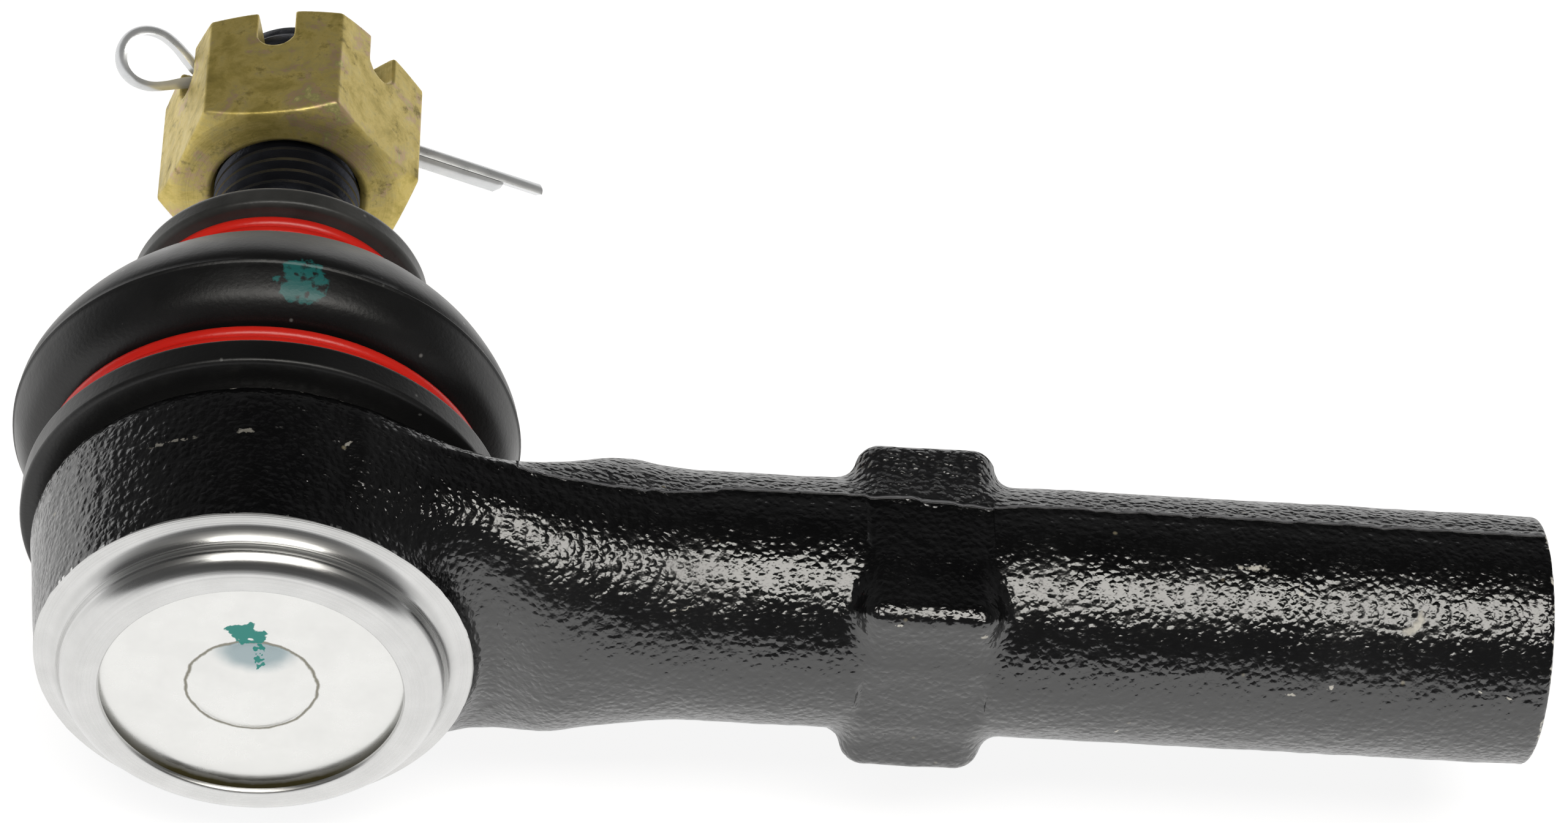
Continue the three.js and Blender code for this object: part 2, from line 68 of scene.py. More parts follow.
# ---- Housing ----
# One drop forging: a round socket, a flaring neck and a round shank with a square wrench section.
# Its open end, its collar and its two bores are turned; the rest keeps its scale under black enamel.
MM = 0.001
STUD_FOOT = 0.6  # height of the closing plate's face along the stud, in the frame
AXIS = 13.6  # ball centre and shank axis, above the closing plate's face
SHANK_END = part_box("housing")[1].x / MM
SHANK_RADIUS = 11.4
NECK_START = 9
NECK_END = 38
SHOULDER = 2.7  # machined shoulder, above the closing plate's face
SOCKET_TOP = 18.3
SOCKET_RADIUS = 19.4
SOCKET_WIDEST = 20.5
SOCKET_CORNER = 3.2
STOCK = 3  # forged below the closing plate's face, and turned away
FLATS_HALF = 10.75
FLATS_START = 53.6
FLATS_END = 65


def round_corner(a, b, radius):
    """Where both distances are inside, with a rounded edge between them."""
    a, b = a + radius, b + radius
    outside = np.hypot(np.maximum(a, 0), np.maximum(b, 0))
    return np.minimum(np.maximum(a, b), 0) + outside - radius


def fillet_union(a, b, radius):
    """Where either distance is inside, with a fillet between them."""
    mix = np.clip(0.5 + 0.5 * (b - a) / radius, 0, 1)
    return b + (a - b) * mix - radius * mix * (1 - mix)


def ease(value, low, high):
    t = np.clip((value - low) / (high - low), 0, 1)
    return t * t * (3 - 2 * t)


def flash_line(x):
    """Where the two dies parted, along the stud from the shank's axis. It climbs along the neck."""
    along = [9, 20, 31, 36, 41, 52, 65, 69, SHANK_END]
    rise = [0.5, 0.7, 1.2, 1.9, 3, 3.3, 2.5, 3, 2.8]
    return np.interp(x, along, rise)


def forging(x, y, z):
    """Distance from the forged skin, in millimetres, before anything is turned.

    The neck's top falls from the round shank to the socket's flat top, and its underside lifts clear
    of the turned shoulder.
    """
    up = y - STUD_FOOT - AXIS
    height = y - STUD_FOOT
    draft = (SOCKET_WIDEST - SOCKET_RADIUS) / (AXIS - SHOULDER)
    side = np.hypot(x, z) - SOCKET_RADIUS - np.clip(height - SHOULDER, 0, AXIS) * draft
    socket = np.maximum(round_corner(side, height - SOCKET_TOP, SOCKET_CORNER), -STOCK - height)
    wide = np.clip((NECK_END - x) / (NECK_END - NECK_START), 0, 1) ** 1.3
    flat_top = SOCKET_TOP - AXIS
    crest = 0.3 * np.exp(-(((x - 32) / 3) ** 2))
    top = flat_top + (SHANK_RADIUS - flat_top) * ease(x, 18.9, 34) + crest
    low = SHANK_RADIUS + 1.5 * wide - 3 * ease(x, 28, 19)
    tall = np.where(up > 0, top, low)
    power = 2 / (1 - 0.42 * wide)
    half_width = SHANK_RADIUS + 7.1 * wide
    reach = (np.abs(z) / half_width) ** power + (np.abs(up) / tall) ** power
    reach = np.maximum(reach, 1e-6) ** (1 / power)
    bar = np.hypot(z, up) * (1 - 1 / reach)
    bar = np.maximum(round_corner(bar, x - SHANK_END, 0.5), NECK_START - x)
    corner = 1.7
    across = np.abs(up) - FLATS_HALF + corner
    beside = np.abs(z) - FLATS_HALF + corner
    square = np.hypot(np.maximum(across, 0), np.maximum(beside, 0))
    square = square + np.minimum(np.maximum(across, beside), 0) - corner
    past = np.maximum(FLATS_START + 0.1 - x, x - FLATS_END - 0.1)
    slope = 2.4
    ends = (past * slope + square) / np.hypot(1, slope)
    boss = round_corner(square, ends, 1.4)
    bar = np.maximum(bar, np.minimum(-past, square))
    return fillet_union(socket, fillet_union(bar, boss, 1.3), 2.5)


def skin(distance, low, high, step):
    """Points, in millimetres, and faces of the surface where the distance is zero."""
    axes = [np.arange(a, b + step, step) for a, b in zip(low, high)]
    grid = openvdb.FloatGrid(100)
    grid.copyFromArray(distance(*np.meshgrid(*axes, indexing="ij")).astype(np.float32))
    points, triangles, quads = grid.convertToPolygons(0, 0)
    points = np.asarray(points, float) * step + low
    for _ in range(3):
        slope = gradient(distance, points)
        points -= distance(*points.T)[:, None] * slope / (slope**2).sum(1)[:, None]
    return points, [list(face) for face in triangles] + [list(face) for face in quads]


def gradient(distance, points):
    reach = 0.02
    steps = np.eye(3) * reach
    rises = [distance(*(points + step).T) - distance(*(points - step).T) for step in steps]
    return np.stack(rises, 1) / (2 * reach)


def shaped(name, points, faces, sharp_above=35):
    """A mesh object from points in millimetres, welded, facing outwards and smooth below an angle."""
    mesh = bpy.data.meshes.new(name)
    mesh.from_pydata((np.asarray(points) * MM).tolist(), [], faces)
    work = bmesh.new()
    work.from_mesh(mesh)
    bmesh.ops.remove_doubles(work, verts=work.verts, dist=2e-7)
    bmesh.ops.dissolve_degenerate(work, edges=work.edges, dist=1e-7)
    bmesh.ops.recalc_face_normals(work, faces=work.faces)
    work.to_mesh(mesh)
    work.free()
    mesh.shade_smooth()
    mesh.set_sharp_from_angle(angle=np.radians(sharp_above))
    made = bpy.data.objects.new(name, mesh)
    bpy.context.scene.collection.objects.link(made)
    return made


def revolved(rows, turn, climb=0):
    """Points and faces through rows of (radius, height). A thread's row climbs some rows a turn."""
    count, around = rows.shape[:2]
    angle = np.arange(around) * 2 * np.pi / around
    points = turn(rows[..., 0] * np.cos(angle), rows[..., 0] * np.sin(angle), rows[..., 1])
    number = np.arange(count * around).reshape(count, around)
    beside = np.roll(number, -1, 1)
    beside[:, -1] += climb * around
    faces = np.stack([number[:-1], number[1:], beside[1:], beside[:-1]], -1).reshape(-1, 4)
    return points.reshape(-1, 3), faces[faces.max(1) < count * around].tolist()


def about_stud(a, b, height):
    return np.stack([a, height + STUD_FOOT, -b], -1)


def about_shank(a, b, along):
    return np.stack([along, a + STUD_FOOT + AXIS, b], -1)


def lathe(profile, turn, around):
    rows = np.repeat(np.array(profile, float)[:, None], around, 1)
    return revolved(rows, turn)


def thread(crest, root, start, end, pitch, turn, around, per_turn=8):
    """A right-hand screw thread that runs out to its root radius at both ends."""
    rows = np.arange(int(per_turn * ((end - start) / pitch + 2)))[:, None]
    along = start + pitch * (rows / per_turn - 1 + np.arange(around) / around)
    along = np.clip(along, start, end)
    ridge = np.clip(0.5 + 0.85 * np.sin(rows * 2 * np.pi / per_turn), 0, 1)
    fade = np.clip(np.minimum(along - start, end - along) / (0.8 * pitch), 0, 1)
    return revolved(np.stack([root + (crest - root) * ridge * fade, along], -1), turn, per_turn)


def joined(*surfaces):
    points, faces = [], []
    for more_points, more_faces in surfaces:
        faces += [[len(points) + corner for corner in face] for face in more_faces]
        points += more_points.tolist()
    return points, faces


def arc(radius, height, size, first, last, steps):
    angle = np.radians(np.linspace(first, last, steps + 1))
    return list(zip(radius + size * np.cos(angle), height + size * np.sin(angle)))


def boolean(target, tool, operation):
    """Joins or cuts the target by the tool, which is then deleted."""
    change = target.modifiers.new(operation, "BOOLEAN")
    change.operation = operation
    change.solver = "MANIFOLD"
    change.object = tool
    plain(target)
    target.data.materials.clear()
    bpy.data.objects.remove(tool)


def plain(target):
    """Applies every modifier, so that the piece is a plain mesh."""
    evaluated = target.evaluated_get(bpy.context.evaluated_depsgraph_get())
    mesh = bpy.data.meshes.new_from_object(evaluated)
    target.modifiers.clear()
    target.data = mesh
    mesh.name = target.name


def waves(points, size, seed):
    """Smooth noise from -1 to 1 at each point, with lumps of about that size in millimetres."""
    shift = Vector((seed, 2 * seed, 3 * seed))
    return np.array([noise.noise(Vector(p) / size + shift) for p in points])


def past_flash(points):
    """How far points lie past the flash line, which wanders a little along the shank."""
    along = points * (1, 0, 0)
    wander = 0.34 * waves(along, 3.1, 4) + 0.24 * waves(along, 1.1, 9)
    return points[:, 1] - STUD_FOOT - AXIS - flash_line(points[:, 0]) - wander


GRID = 0.46
FLASH_RISE, FLASH_WIDTH = 0.24, 0.4
points, faces = skin(forging, (-21.6, -2.6, -21.2), (SHANK_END + 0.8, 26.4, 21.2), GRID)
outward = gradient(forging, points)
outward /= np.linalg.norm(outward, axis=1)[:, None]
from_flash = past_flash(points)
on_side = ease(np.abs(outward[:, 2]), 0.5, 0.9) * ease(points[:, 0], 6, 22)
flash = FLASH_RISE * np.exp(-((from_flash / FLASH_WIDTH) ** 2)) - 0.12 * ease(from_flash, 0.4, -0.3)
skin_lumps = 0.075 * waves(points, 5.5, 1) + 0.04 * waves(points, 1.9, 2) + 0.028 * waves(points, 1.1, 3)
keep_end = ease(SHANK_END - points[:, 0], 0, 1)
points += outward * (skin_lumps * keep_end + flash * on_side - 0.06)[:, None]
housing = shaped("forged_housing", points, faces, 60)

# The turning tool's path at the open end: past the shoulder's grooves, down the hollow fillet, over the
# rolled lip, and into the seats for the closing plate, the bearings and the swinging stud.
COVER_SEAT = 15.2
grooves = []
for groove in (20.2, 19.95, 19.7, 19.4):
    grooves += [(groove + 0.1, SHOULDER), (groove, SHOULDER + 0.09), (groove - 0.1, SHOULDER)]
fillet = arc(19.13, 0.6, 2.1, 90, 170, 14)
lip = arc(14.6, 1.4, 2.5, -10, -90, 16)[1:]
bore_path = [(13.4, -0.6), (13.8, -0.3), (COVER_SEAT, -0.3), (COVER_SEAT, 1.8), (13.9, 1.8)]
bore_path += [(13.9, 19.05), (9.33, 19.05), (11.94, 24.6), (11.94, 27), (0, 27)]
path = [(0, -5), (SOCKET_WIDEST, -5), (SOCKET_WIDEST, SHOULDER)] + grooves + fillet
path += lip + [(14.1, -1.07)] + arc(13.75, -0.75, 0.35, -70, -180, 5)
turned_end = shaped("open_end", *lathe(path + bore_path, about_stud, 192))
boolean(housing, turned_end, "DIFFERENCE")
# The boot's seat: a collar above the forged top face.
collar = [(24, 18.3), (17.4, 18.3), (17.4, 24.1), (16.9, 24.6), (12.5, 24.6), (12.5, 27), (24, 27)]
boot_room = shaped("boot_room", *lathe(collar + collar[:1], about_stud, 128))
collar_stock = [(11.9, 17), (18.3, 17), (18.3, 25), (11.9, 25), (11.9, 17)]
stock = shaped("collar_stock", *lathe(collar_stock, about_stud, 128))
boolean(housing, stock, "UNION")
boolean(housing, boot_room, "DIFFERENCE")
# The shank's M16 x 1.5 thread, 55 mm deep, with a drill point behind it and a countersunk mouth.
MAJOR, CORE, MOUTH = 8, 7.2, 1.2
PITCH = 1.5  # of the stud's and the nut's M14 thread too
tap_end, tap_start = SHANK_END - MOUTH + 0.4, SHANK_END - 52
drilled = lathe([(0, SHANK_END - 58), (CORE, SHANK_END - 55), (CORE, tap_start)], about_shank, 72)
mouth_radius = CORE + MOUTH - 0.4
mouth = [(CORE, tap_end), (mouth_radius, SHANK_END), (mouth_radius, SHANK_END + 1), (0, SHANK_END + 1)]
tapped = thread(MAJOR, CORE, tap_start, tap_end, PITCH, about_shank, 72, 5)
boolean(housing, shaped("tap", *joined(drilled, tapped, lathe(mouth, about_shank, 72))), "DIFFERENCE")


def linear(colour):
    """An sRGB hex colour as linear red, green, blue and alpha."""
    parts = [int(colour[i : i + 2], 16) / 255 for i in (1, 3, 5)]
    return [c / 12.92 if c <= 0.04045 else ((c + 0.055) / 1.055) ** 2.4 for c in parts] + [1]


def plug(tree, value, socket):
    """Gives a socket a value, or links it to another socket or to a node's first live output."""
    if isinstance(value, bpy.types.Node):
        value = next(output for output in value.outputs if output.enabled)
    if isinstance(value, bpy.types.NodeSocket):
        tree.links.new(value, socket)
    else:
        socket.default_value = value


def add(tree, kind, inputs=None, **settings):
    """Adds a node. Its inputs take what plug takes, and settings are its own properties."""
    made = tree.nodes.new(kind)
    for key, value in settings.items():
        setattr(made, key, value)
    for key, value in (inputs or {}).items():
        plug(tree, value, made.inputs[key])
    return made


def new_material(name, **shader_values):
    """A material with one shader. Returns it, its tree, its shader and the object's coordinates."""
    material = bpy.data.materials.new(name)
    material.use_nodes = True
    tree = material.node_tree
    shader = tree.nodes["Principled BSDF"]
    for key, value in shader_values.items():
        shader.inputs[key.replace("_", " ")].default_value = value
    place = add(tree, "ShaderNodeTexCoord").outputs["Object"]
    return material, tree, shader, place


# Black enamel, sprayed over the forging's scale: glossy, with 2.4 mm swells, a hammered peel of 0.7 mm
# cells, dust and bare chips. A light grey line painted along the flash line is its highlight, and pale
# flecks painted along the socket's upper rim are its glints. Past the flash line it went on thin, so the
# scale shows and the gloss is lower. A pattern's scale is in lumps a metre. Map Range goes from inputs 1
# and 2 to inputs 3 and 4, and Mix blends colours 6 and 7, or numbers 2 and 3.
enamel, tree, shader, place = new_material("black_enamel", IOR=1.85)
from_line = add(tree, "ShaderNodeAttribute", attribute_name="from_flash").outputs["Fac"]
thin = add(tree, "ShaderNodeMapRange", {0: from_line, 1: 0.05, 2: 0.5})
off_line = add(tree, "ShaderNodeMath", {0: from_line}, operation="ABSOLUTE")
on_line = add(tree, "ShaderNodeMapRange", {0: off_line, 1: 0.2, 2: 0.03}, interpolation_type="SMOOTHSTEP")
swell = add(tree, "ShaderNodeTexNoise", {"Vector": place, "Scale": 420, "Detail": 1})
peel = add(tree, "ShaderNodeTexNoise", {"Vector": place, "Scale": 1250, "Detail": 2})
bent = {0: peel.outputs["Color"], 1: (0.0005, 0.0005, 0.0005)}
bent = add(tree, "ShaderNodeVectorMath", bent, operation="MULTIPLY")
bent = add(tree, "ShaderNodeVectorMath", {0: place, 1: bent})
hammered = add(tree, "ShaderNodeTexVoronoi", {"Vector": bent, "Scale": 1500})
hammered = add(tree, "ShaderNodeMapRange", {0: hammered, 1: 0.75, 2: 0.05}, interpolation_type="SMOOTHSTEP")
rougher = add(tree, "ShaderNodeMapRange", {0: thin, 3: 0.56, 4: 1.6})
hammered = add(tree, "ShaderNodeMath", {0: hammered, 1: rougher}, operation="MULTIPLY")
relief = add(tree, "ShaderNodeBump", {"Height": swell, "Distance": 0.00008})
relief = add(tree, "ShaderNodeBump", {"Height": peel, "Normal": relief, "Distance": 0.00009})
relief = add(tree, "ShaderNodeBump", {"Height": hammered, "Normal": relief, "Distance": 0.0001})
relief = add(tree, "ShaderNodeBump", {"Height": on_line, "Normal": relief, "Distance": 0.0002})
plug(tree, relief, shader.inputs["Normal"])
cells = add(tree, "ShaderNodeTexVoronoi", {"Vector": place, "Scale": 420})
rare = add(tree, "ShaderNodeSeparateColor", {0: cells.outputs["Color"]})
rare = add(tree, "ShaderNodeMath", {0: rare, 1: 0.88}, operation="GREATER_THAN")
dot = add(tree, "ShaderNodeMapRange", {0: cells, 1: 0.11, 2: 0.04, 4: 0.7})
specks = add(tree, "ShaderNodeMath", {0: rare, 1: dot}, operation="MULTIPLY")
wobble = add(tree, "ShaderNodeTexNoise", {"Vector": place, "Scale": 1900, "Detail": 3})
MIDDLE = (0.5, 0.5, 0.5)  # of a noise colour
wobble = add(tree, "ShaderNodeVectorMath", {0: wobble.outputs["Color"], 1: MIDDLE}, operation="SUBTRACT")
wobble = add(tree, "ShaderNodeVectorMath", {0: wobble, "Scale": 0.0009}, operation="SCALE")
torn = add(tree, "ShaderNodeVectorMath", {0: place, 1: wobble})


def scar(spot, along, long, wide, depth=1.0):
    """A ragged bare patch at a place in millimetres, or a scratch if it is narrow."""
    way = Vector(along).normalized()
    away = add(tree, "ShaderNodeVectorMath", {0: torn, 1: Vector(spot) * MM}, operation="SUBTRACT")
    run = add(tree, "ShaderNodeVectorMath", {0: away, 1: way}, operation="DOT_PRODUCT")
    squeeze = add(tree, "ShaderNodeVectorMath", {0: way * (wide / long - 1), "Scale": run}, operation="SCALE")
    away = add(tree, "ShaderNodeVectorMath", {0: away, 1: squeeze})
    away = add(tree, "ShaderNodeVectorMath", {0: away}, operation="LENGTH")
    return add(tree, "ShaderNodeMapRange", {0: away, 1: wide * MM, 2: 0.7 * wide * MM, 4: depth})


ROUND = (1, 0, 0)  # any direction does for a round chip
# A crescent where the shank was dropped on a hard edge, then chips and scratches: place, direction,
# half length, half width and how bare.
crescent = scar((102.7, 7.4, 9.1), (0.61, 0.64, 0.47), 1.6, 0.95)
inside = scar((102.25, 7.75, 9.35), (0.61, 0.64, 0.47), 1.6, 0.95)
chips_and_glints = add(tree, "ShaderNodeMath", {0: crescent, 1: inside}, operation="SUBTRACT", use_clamp=True)
SCARS = [
    ((88.3, 11.3, 11), (1, 0.05, 0), 1.7, 0.34),
    ((92.7, 9.8, 10.5), ROUND, 0.26, 0.26),
    ((95.8, 3.6, 4.1), (1, 0.4, 0), 0.5, 0.2),
    ((92.3, 3.3, 3.2), (1, 0.1, 0), 0.5, 0.22),
    ((109.3, 3.7, 4.4), (1, -0.5, 0), 0.4, 0.2),
    ((112, 3.5, 4), ROUND, 0.3, 0.22),
    ((64.4, 3.5, 8.4), (1, 0, 0.5), 0.8, 0.3),
    ((54, 3.5, 8.6), (0.4, 0, 1), 0.6, 0.3, 0.8),
    ((56.5, 3.5, 9.2), ROUND, 0.5, 0.2),
    ((19.2, 9.7, 14.9), (0.78, 0.62, -0.04), 2.3, 0.2, 0.8),
    ((18.3, 8.7, 15), (1, 0.2, 0), 0.9, 0.16, 0.6),
    ((-8, 12, 18.5), (1, 0, 0.42), 2.6, 0.2, 0.35),
    ((-1.6, 12.3, 20.1), (1, 0.05, 0), 0.8, 0.3, 0.4),
    ((7.3, 12.6, 18.9), (0.6, 0.8, 0), 0.5, 0.24, 0.5),
    ((37.3, 5.6, 7.5), (1, 0.3, 0), 1.6, 0.12, 0.7),
    ((-18.1, 11.6, 8.8), ROUND, 0.4, 0.3, 0.7),
    ((77.4, 3.2, -3), ROUND, 0.25, 0.25),
    ((15, 7, 15.6), (1, 0.5, 0), 1.1, 0.12, 0.5),
]
for row in SCARS:
    chips_and_glints = add(tree, "ShaderNodeMath", {0: chips_and_glints, 1: scar(*row)}, operation="MAXIMUM")
# The pale edge flecks are real wear at the shank's end, and painted glints along the socket's upper rim.
edge = add(tree, "ShaderNodeAttribute", attribute_name="worn_edge_and_glints").outputs["Fac"]
ragged = add(tree, "ShaderNodeTexNoise", {"Vector": place, "Scale": 1400, "Detail": 4})
edge = add(tree, "ShaderNodeMath", {0: edge, 1: ragged}, operation="MULTIPLY")
edge = add(tree, "ShaderNodeMapRange", {0: edge, 1: 0.5, 2: 0.6})
chips_and_glints = add(tree, "ShaderNodeMath", {0: chips_and_glints, 1: edge}, operation="MAXIMUM")
cloud = add(tree, "ShaderNodeTexNoise", {"Vector": place, "Scale": 90, "Detail": 4})
tone = add(tree, "ShaderNodeMix", {0: cloud, 6: linear("#050506"), 7: linear("#0b0b0c")}, data_type="RGBA")
tone = add(tree, "ShaderNodeMix", {0: thin, 6: tone, 7: linear("#121214")}, data_type="RGBA")
# Along the flash line a light grey is painted in, as the ridge's highlight.
painted_highlight_line = add(tree, "ShaderNodeMath", {0: on_line, 1: 0.7}, operation="MULTIPLY")
tone = add(tree, "ShaderNodeMix", {0: painted_highlight_line, 6: tone, 7: linear("#7c7c80")}, data_type="RGBA")
tone = add(tree, "ShaderNodeMix", {0: specks, 6: tone, 7: linear("#8d8570")}, data_type="RGBA")
# This bare tone also paints the glints on the socket's rim.
bare = add(tree, "ShaderNodeMix", {0: ragged, 6: linear("#8a8374"), 7: linear("#f0ede4")}, data_type="RGBA")
tone = add(tree, "ShaderNodeMix", {0: chips_and_glints, 6: tone, 7: bare}, data_type="RGBA")
plug(tree, tone, shader.inputs["Base Color"])
dull = add(tree, "ShaderNodeMapRange", {0: cloud, 1: 0.3, 2: 0.7, 3: 0.13, 4: 0.24})
dull = add(tree, "ShaderNodeMix", {0: thin, 2: dull, 3: 0.27})
dull = add(tree, "ShaderNodeMix", {0: chips_and_glints, 2: dull, 3: 0.65})
plug(tree, dull, shader.inputs["Roughness"])

# Turned carbon steel, left bare: bright, with the tool's rings about the stud's axis. The tool's feed is
# drawn at 0.24 mm, about twice the real one, so that the rings show.
turned_steel, tree, shader, place = new_material("bright_turned_steel", Metallic=1)
flat = add(tree, "ShaderNodeVectorMath", {0: place, 1: (1, 0, 1)}, operation="MULTIPLY")
ring = add(tree, "ShaderNodeVectorMath", {0: flat}, operation="LENGTH")
parts = add(tree, "ShaderNodeSeparateXYZ", {0: place})
travel = add(tree, "ShaderNodeMath", {0: ring, 1: parts.outputs["Y"]}, operation="SUBTRACT")
tool_marks = add(tree, "ShaderNodeTexNoise", {"W": travel, "Scale": 4200, "Detail": 3}, noise_dimensions="1D")
marks = add(tree, "ShaderNodeBump", {"Height": tool_marks, "Distance": 0.000018})
plug(tree, marks, shader.inputs["Normal"])
stain = add(tree, "ShaderNodeTexNoise", {"Vector": place, "Scale": 260, "Detail": 5, "Roughness": 0.6})
steel = add(tree, "ShaderNodeMix", {0: stain, 6: linear("#c0c0bf"), 7: linear("#dadad9")}, data_type="RGBA")
plug(tree, steel, shader.inputs["Base Color"])
satin = add(tree, "ShaderNodeMapRange", {0: tool_marks, 1: 0.3, 2: 0.7, 3: 0.18, 4: 0.42})
plug(tree, satin, shader.inputs["Roughness"])

housing.data.materials.append(enamel)
housing.data.materials.append(turned_steel)
for face in housing.data.polygons:
    x, y, z = face.center / MM
    height, radius = y - STUD_FOOT, np.hypot(x, z)
    at_end = radius < SOCKET_WIDEST + 0.02 and height < SHOULDER + 0.12
    at_collar = radius < 22.7 and height > SOCKET_TOP - 0.02
    in_bore = radius < COVER_SEAT + 0.02
    in_thread = np.hypot(height - AXIS, z) < CORE + MOUTH and SHANK_END - 60 < x < SHANK_END - 0.01
    face.material_index = int(at_end or at_collar or in_bore or in_thread)
housing.data.shade_smooth()
housing.data.set_sharp_from_angle(angle=np.radians(38))
# How far each point of the skin lies past the flash line, in millimetres, and where the shank's end is worn
# bare and the socket's upper rim carries pale flecks painted as glints.
points = np.array([corner.co for corner in housing.data.vertices]) / MM
from_flash = past_flash(points)
away_from_line = 1.5 - 3 * ease(points[:, 0], 18, 27)
from_flash = np.where(points[:, 0] < 27, np.minimum(from_flash, -away_from_line), from_flash)
RIM_RADIUS, RIM_HEIGHT = 19.6, 17.4
from_shank = np.hypot(points[:, 1] - STUD_FOOT - AXIS, points[:, 2])
to_end = np.hypot(SHANK_END - points[:, 0], from_shank - SHANK_RADIUS)
from_stud = np.hypot(points[:, 0], points[:, 2])
to_rim = np.hypot(from_stud - RIM_RADIUS, points[:, 1] - STUD_FOOT - RIM_HEIGHT)
# Bare wear at the shank's end; on the rim, only its upper side gets the flecks, as painted glints.
worn_and_glints = np.maximum(ease(to_end, 1.1, 0.2), 0.92 * ease(to_rim, 1.5, 0.3) * ease(points[:, 2], 4, 12))
for name, values in (("from_flash", from_flash), ("worn_edge_and_glints", worn_and_glints)):
    attribute = housing.data.attributes.new(name, "FLOAT", "POINT")
    attribute.data.foreach_set("value", values.astype(np.float32))
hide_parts("housing")
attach(housing, "socket")

# ---- Closing plate ----
# A pressed steel disc with a raised button, zinc plated, which the housing's lip is rolled over.
# Bright and faintly mottled, with a rust line at the button's foot and a dab of inspection paint.
BUTTON = 5.7
dome = [(r, -0.6 + 0.58 * (r / BUTTON) ** 4) for r in np.linspace(0, 5.5, 15)]
step = [(BUTTON, -0.01), (5.85, 0)]
plate = [(14.7, 0), (14.9, 0.2), (14.9, 1.6), (14.7, 1.8), (5.6, 1.8), (5, 1.5), (4.4, 1.2), (0, 1.2)]
cover = shaped("closing_plate", *lathe(dome + step + plate, about_stud, 128), 30)
# Zinc in clouds of 5 mm. The rust, the shade painted under the lip on the plate's lower side, the bluish
# reflection painted on the button and the paint all have ragged edges.
zinc, tree, shader, place = new_material("bright_zinc_plate", Metallic=1, Roughness=0.2)
cloud = add(tree, "ShaderNodeTexNoise", {"Vector": place, "Scale": 210, "Detail": 6, "Roughness": 0.65})
silver = add(tree, "ShaderNodeMix", {0: cloud, 6: linear("#cfcfcd"), 7: linear("#ebebe9")}, data_type="RGBA")
flat = add(tree, "ShaderNodeVectorMath", {0: place, 1: (1, 0, 1)}, operation="MULTIPLY")
ring = add(tree, "ShaderNodeVectorMath", {0: flat}, operation="LENGTH")
ragged = add(tree, "ShaderNodeTexNoise", {"Vector": place, "Scale": 700, "Detail": 4})
offset = add(tree, "ShaderNodeMapRange", {0: ragged, 3: -0.0003, 4: 0.0003})
ring = add(tree, "ShaderNodeMath", {0: ring, 1: offset})
from_foot = add(tree, "ShaderNodeMath", {0: ring, 1: (BUTTON + 0.1) * MM}, operation="SUBTRACT")
from_foot = add(tree, "ShaderNodeMath", {0: from_foot}, operation="ABSOLUTE")
rust = add(tree, "ShaderNodeMapRange", {0: from_foot, 1: 0.0002, 2: 0.00006, 4: 0.75})
# Painted shade: past 12.9 mm, on the plate's lower side, a brown tone is painted under the rolled lip as its
# shadow.
painted_shade_under_lip = add(tree, "ShaderNodeMapRange", {0: ring, 1: 0.0129, 2: 0.0136})
parts = add(tree, "ShaderNodeSeparateXYZ", {0: place})
low_side = add(tree, "ShaderNodeMapRange", {0: parts.outputs["Z"], 1: -0.004, 2: -0.012})
painted_shade_under_lip = add(tree, "ShaderNodeMath", {0: painted_shade_under_lip, 1: low_side}, operation="MULTIPLY")
rust_and_painted_shade = add(tree, "ShaderNodeMath", {0: rust, 1: painted_shade_under_lip}, operation="MAXIMUM")
# A bluish patch is painted on the button's top, as the reflection of a dark thing in front of the plate.
painted_reflection = add(tree, "ShaderNodeVectorMath", {0: place, 1: (0.0003, -0.0005, 0.0049)}, operation="SUBTRACT")
painted_reflection = add(tree, "ShaderNodeVectorMath", {0: painted_reflection, 1: (0.62, 0, 1)}, operation="MULTIPLY")
painted_reflection = add(tree, "ShaderNodeVectorMath", {0: painted_reflection}, operation="LENGTH")
painted_reflection = add(tree, "ShaderNodeMath", {0: painted_reflection, 1: offset})
fade = {0: painted_reflection, 1: 0.0028, 2: 0.0012, 4: 0.85}
painted_reflection = add(tree, "ShaderNodeMapRange", fade, interpolation_type="SMOOTHSTEP")
on_button = add(tree, "ShaderNodeMath", {0: ring, 1: BUTTON * MM}, operation="LESS_THAN")
painted_reflection = add(tree, "ShaderNodeMath", {0: painted_reflection, 1: on_button}, operation="MULTIPLY")
silver = add(tree, "ShaderNodeMix", {0: painted_reflection, 6: silver, 7: linear("#8b9da2")}, data_type="RGBA")
silver = add(tree, "ShaderNodeMix", {0: rust_and_painted_shade, 6: silver, 7: linear("#5d5636")}, data_type="RGBA")
edge = add(tree, "ShaderNodeTexNoise", {"Vector": place, "Scale": 900, "Detail": 3})
edge = add(tree, "ShaderNodeVectorMath", {0: edge.outputs["Color"], 1: MIDDLE}, operation="SUBTRACT")
edge = add(tree, "ShaderNodeVectorMath", {0: edge, "Scale": 0.0035}, operation="SCALE")
dabbed = add(tree, "ShaderNodeVectorMath", {0: place, 1: edge})
dabbed = add(tree, "ShaderNodeVectorMath", {0: dabbed, 1: (1, 0, 1)}, operation="MULTIPLY")
paint = 0
DABS = [((-0.9, 0, 6.9), 1.25), ((0.1, 0, 6.6), 0.9), ((0.4, 0, 5.3), 0.5)]
DABS += [((0.5, 0, 4.2), 0.42), ((0.7, 0, 3.2), 0.3)]
for spot, size in DABS:
    away = add(tree, "ShaderNodeVectorMath", {0: dabbed, 1: Vector(spot) * MM}, operation="DISTANCE")
    dab = add(tree, "ShaderNodeMapRange", {0: away, 1: size * MM, 2: 0.85 * size * MM})
    paint = add(tree, "ShaderNodeMath", {0: paint, 1: dab}, operation="MAXIMUM")
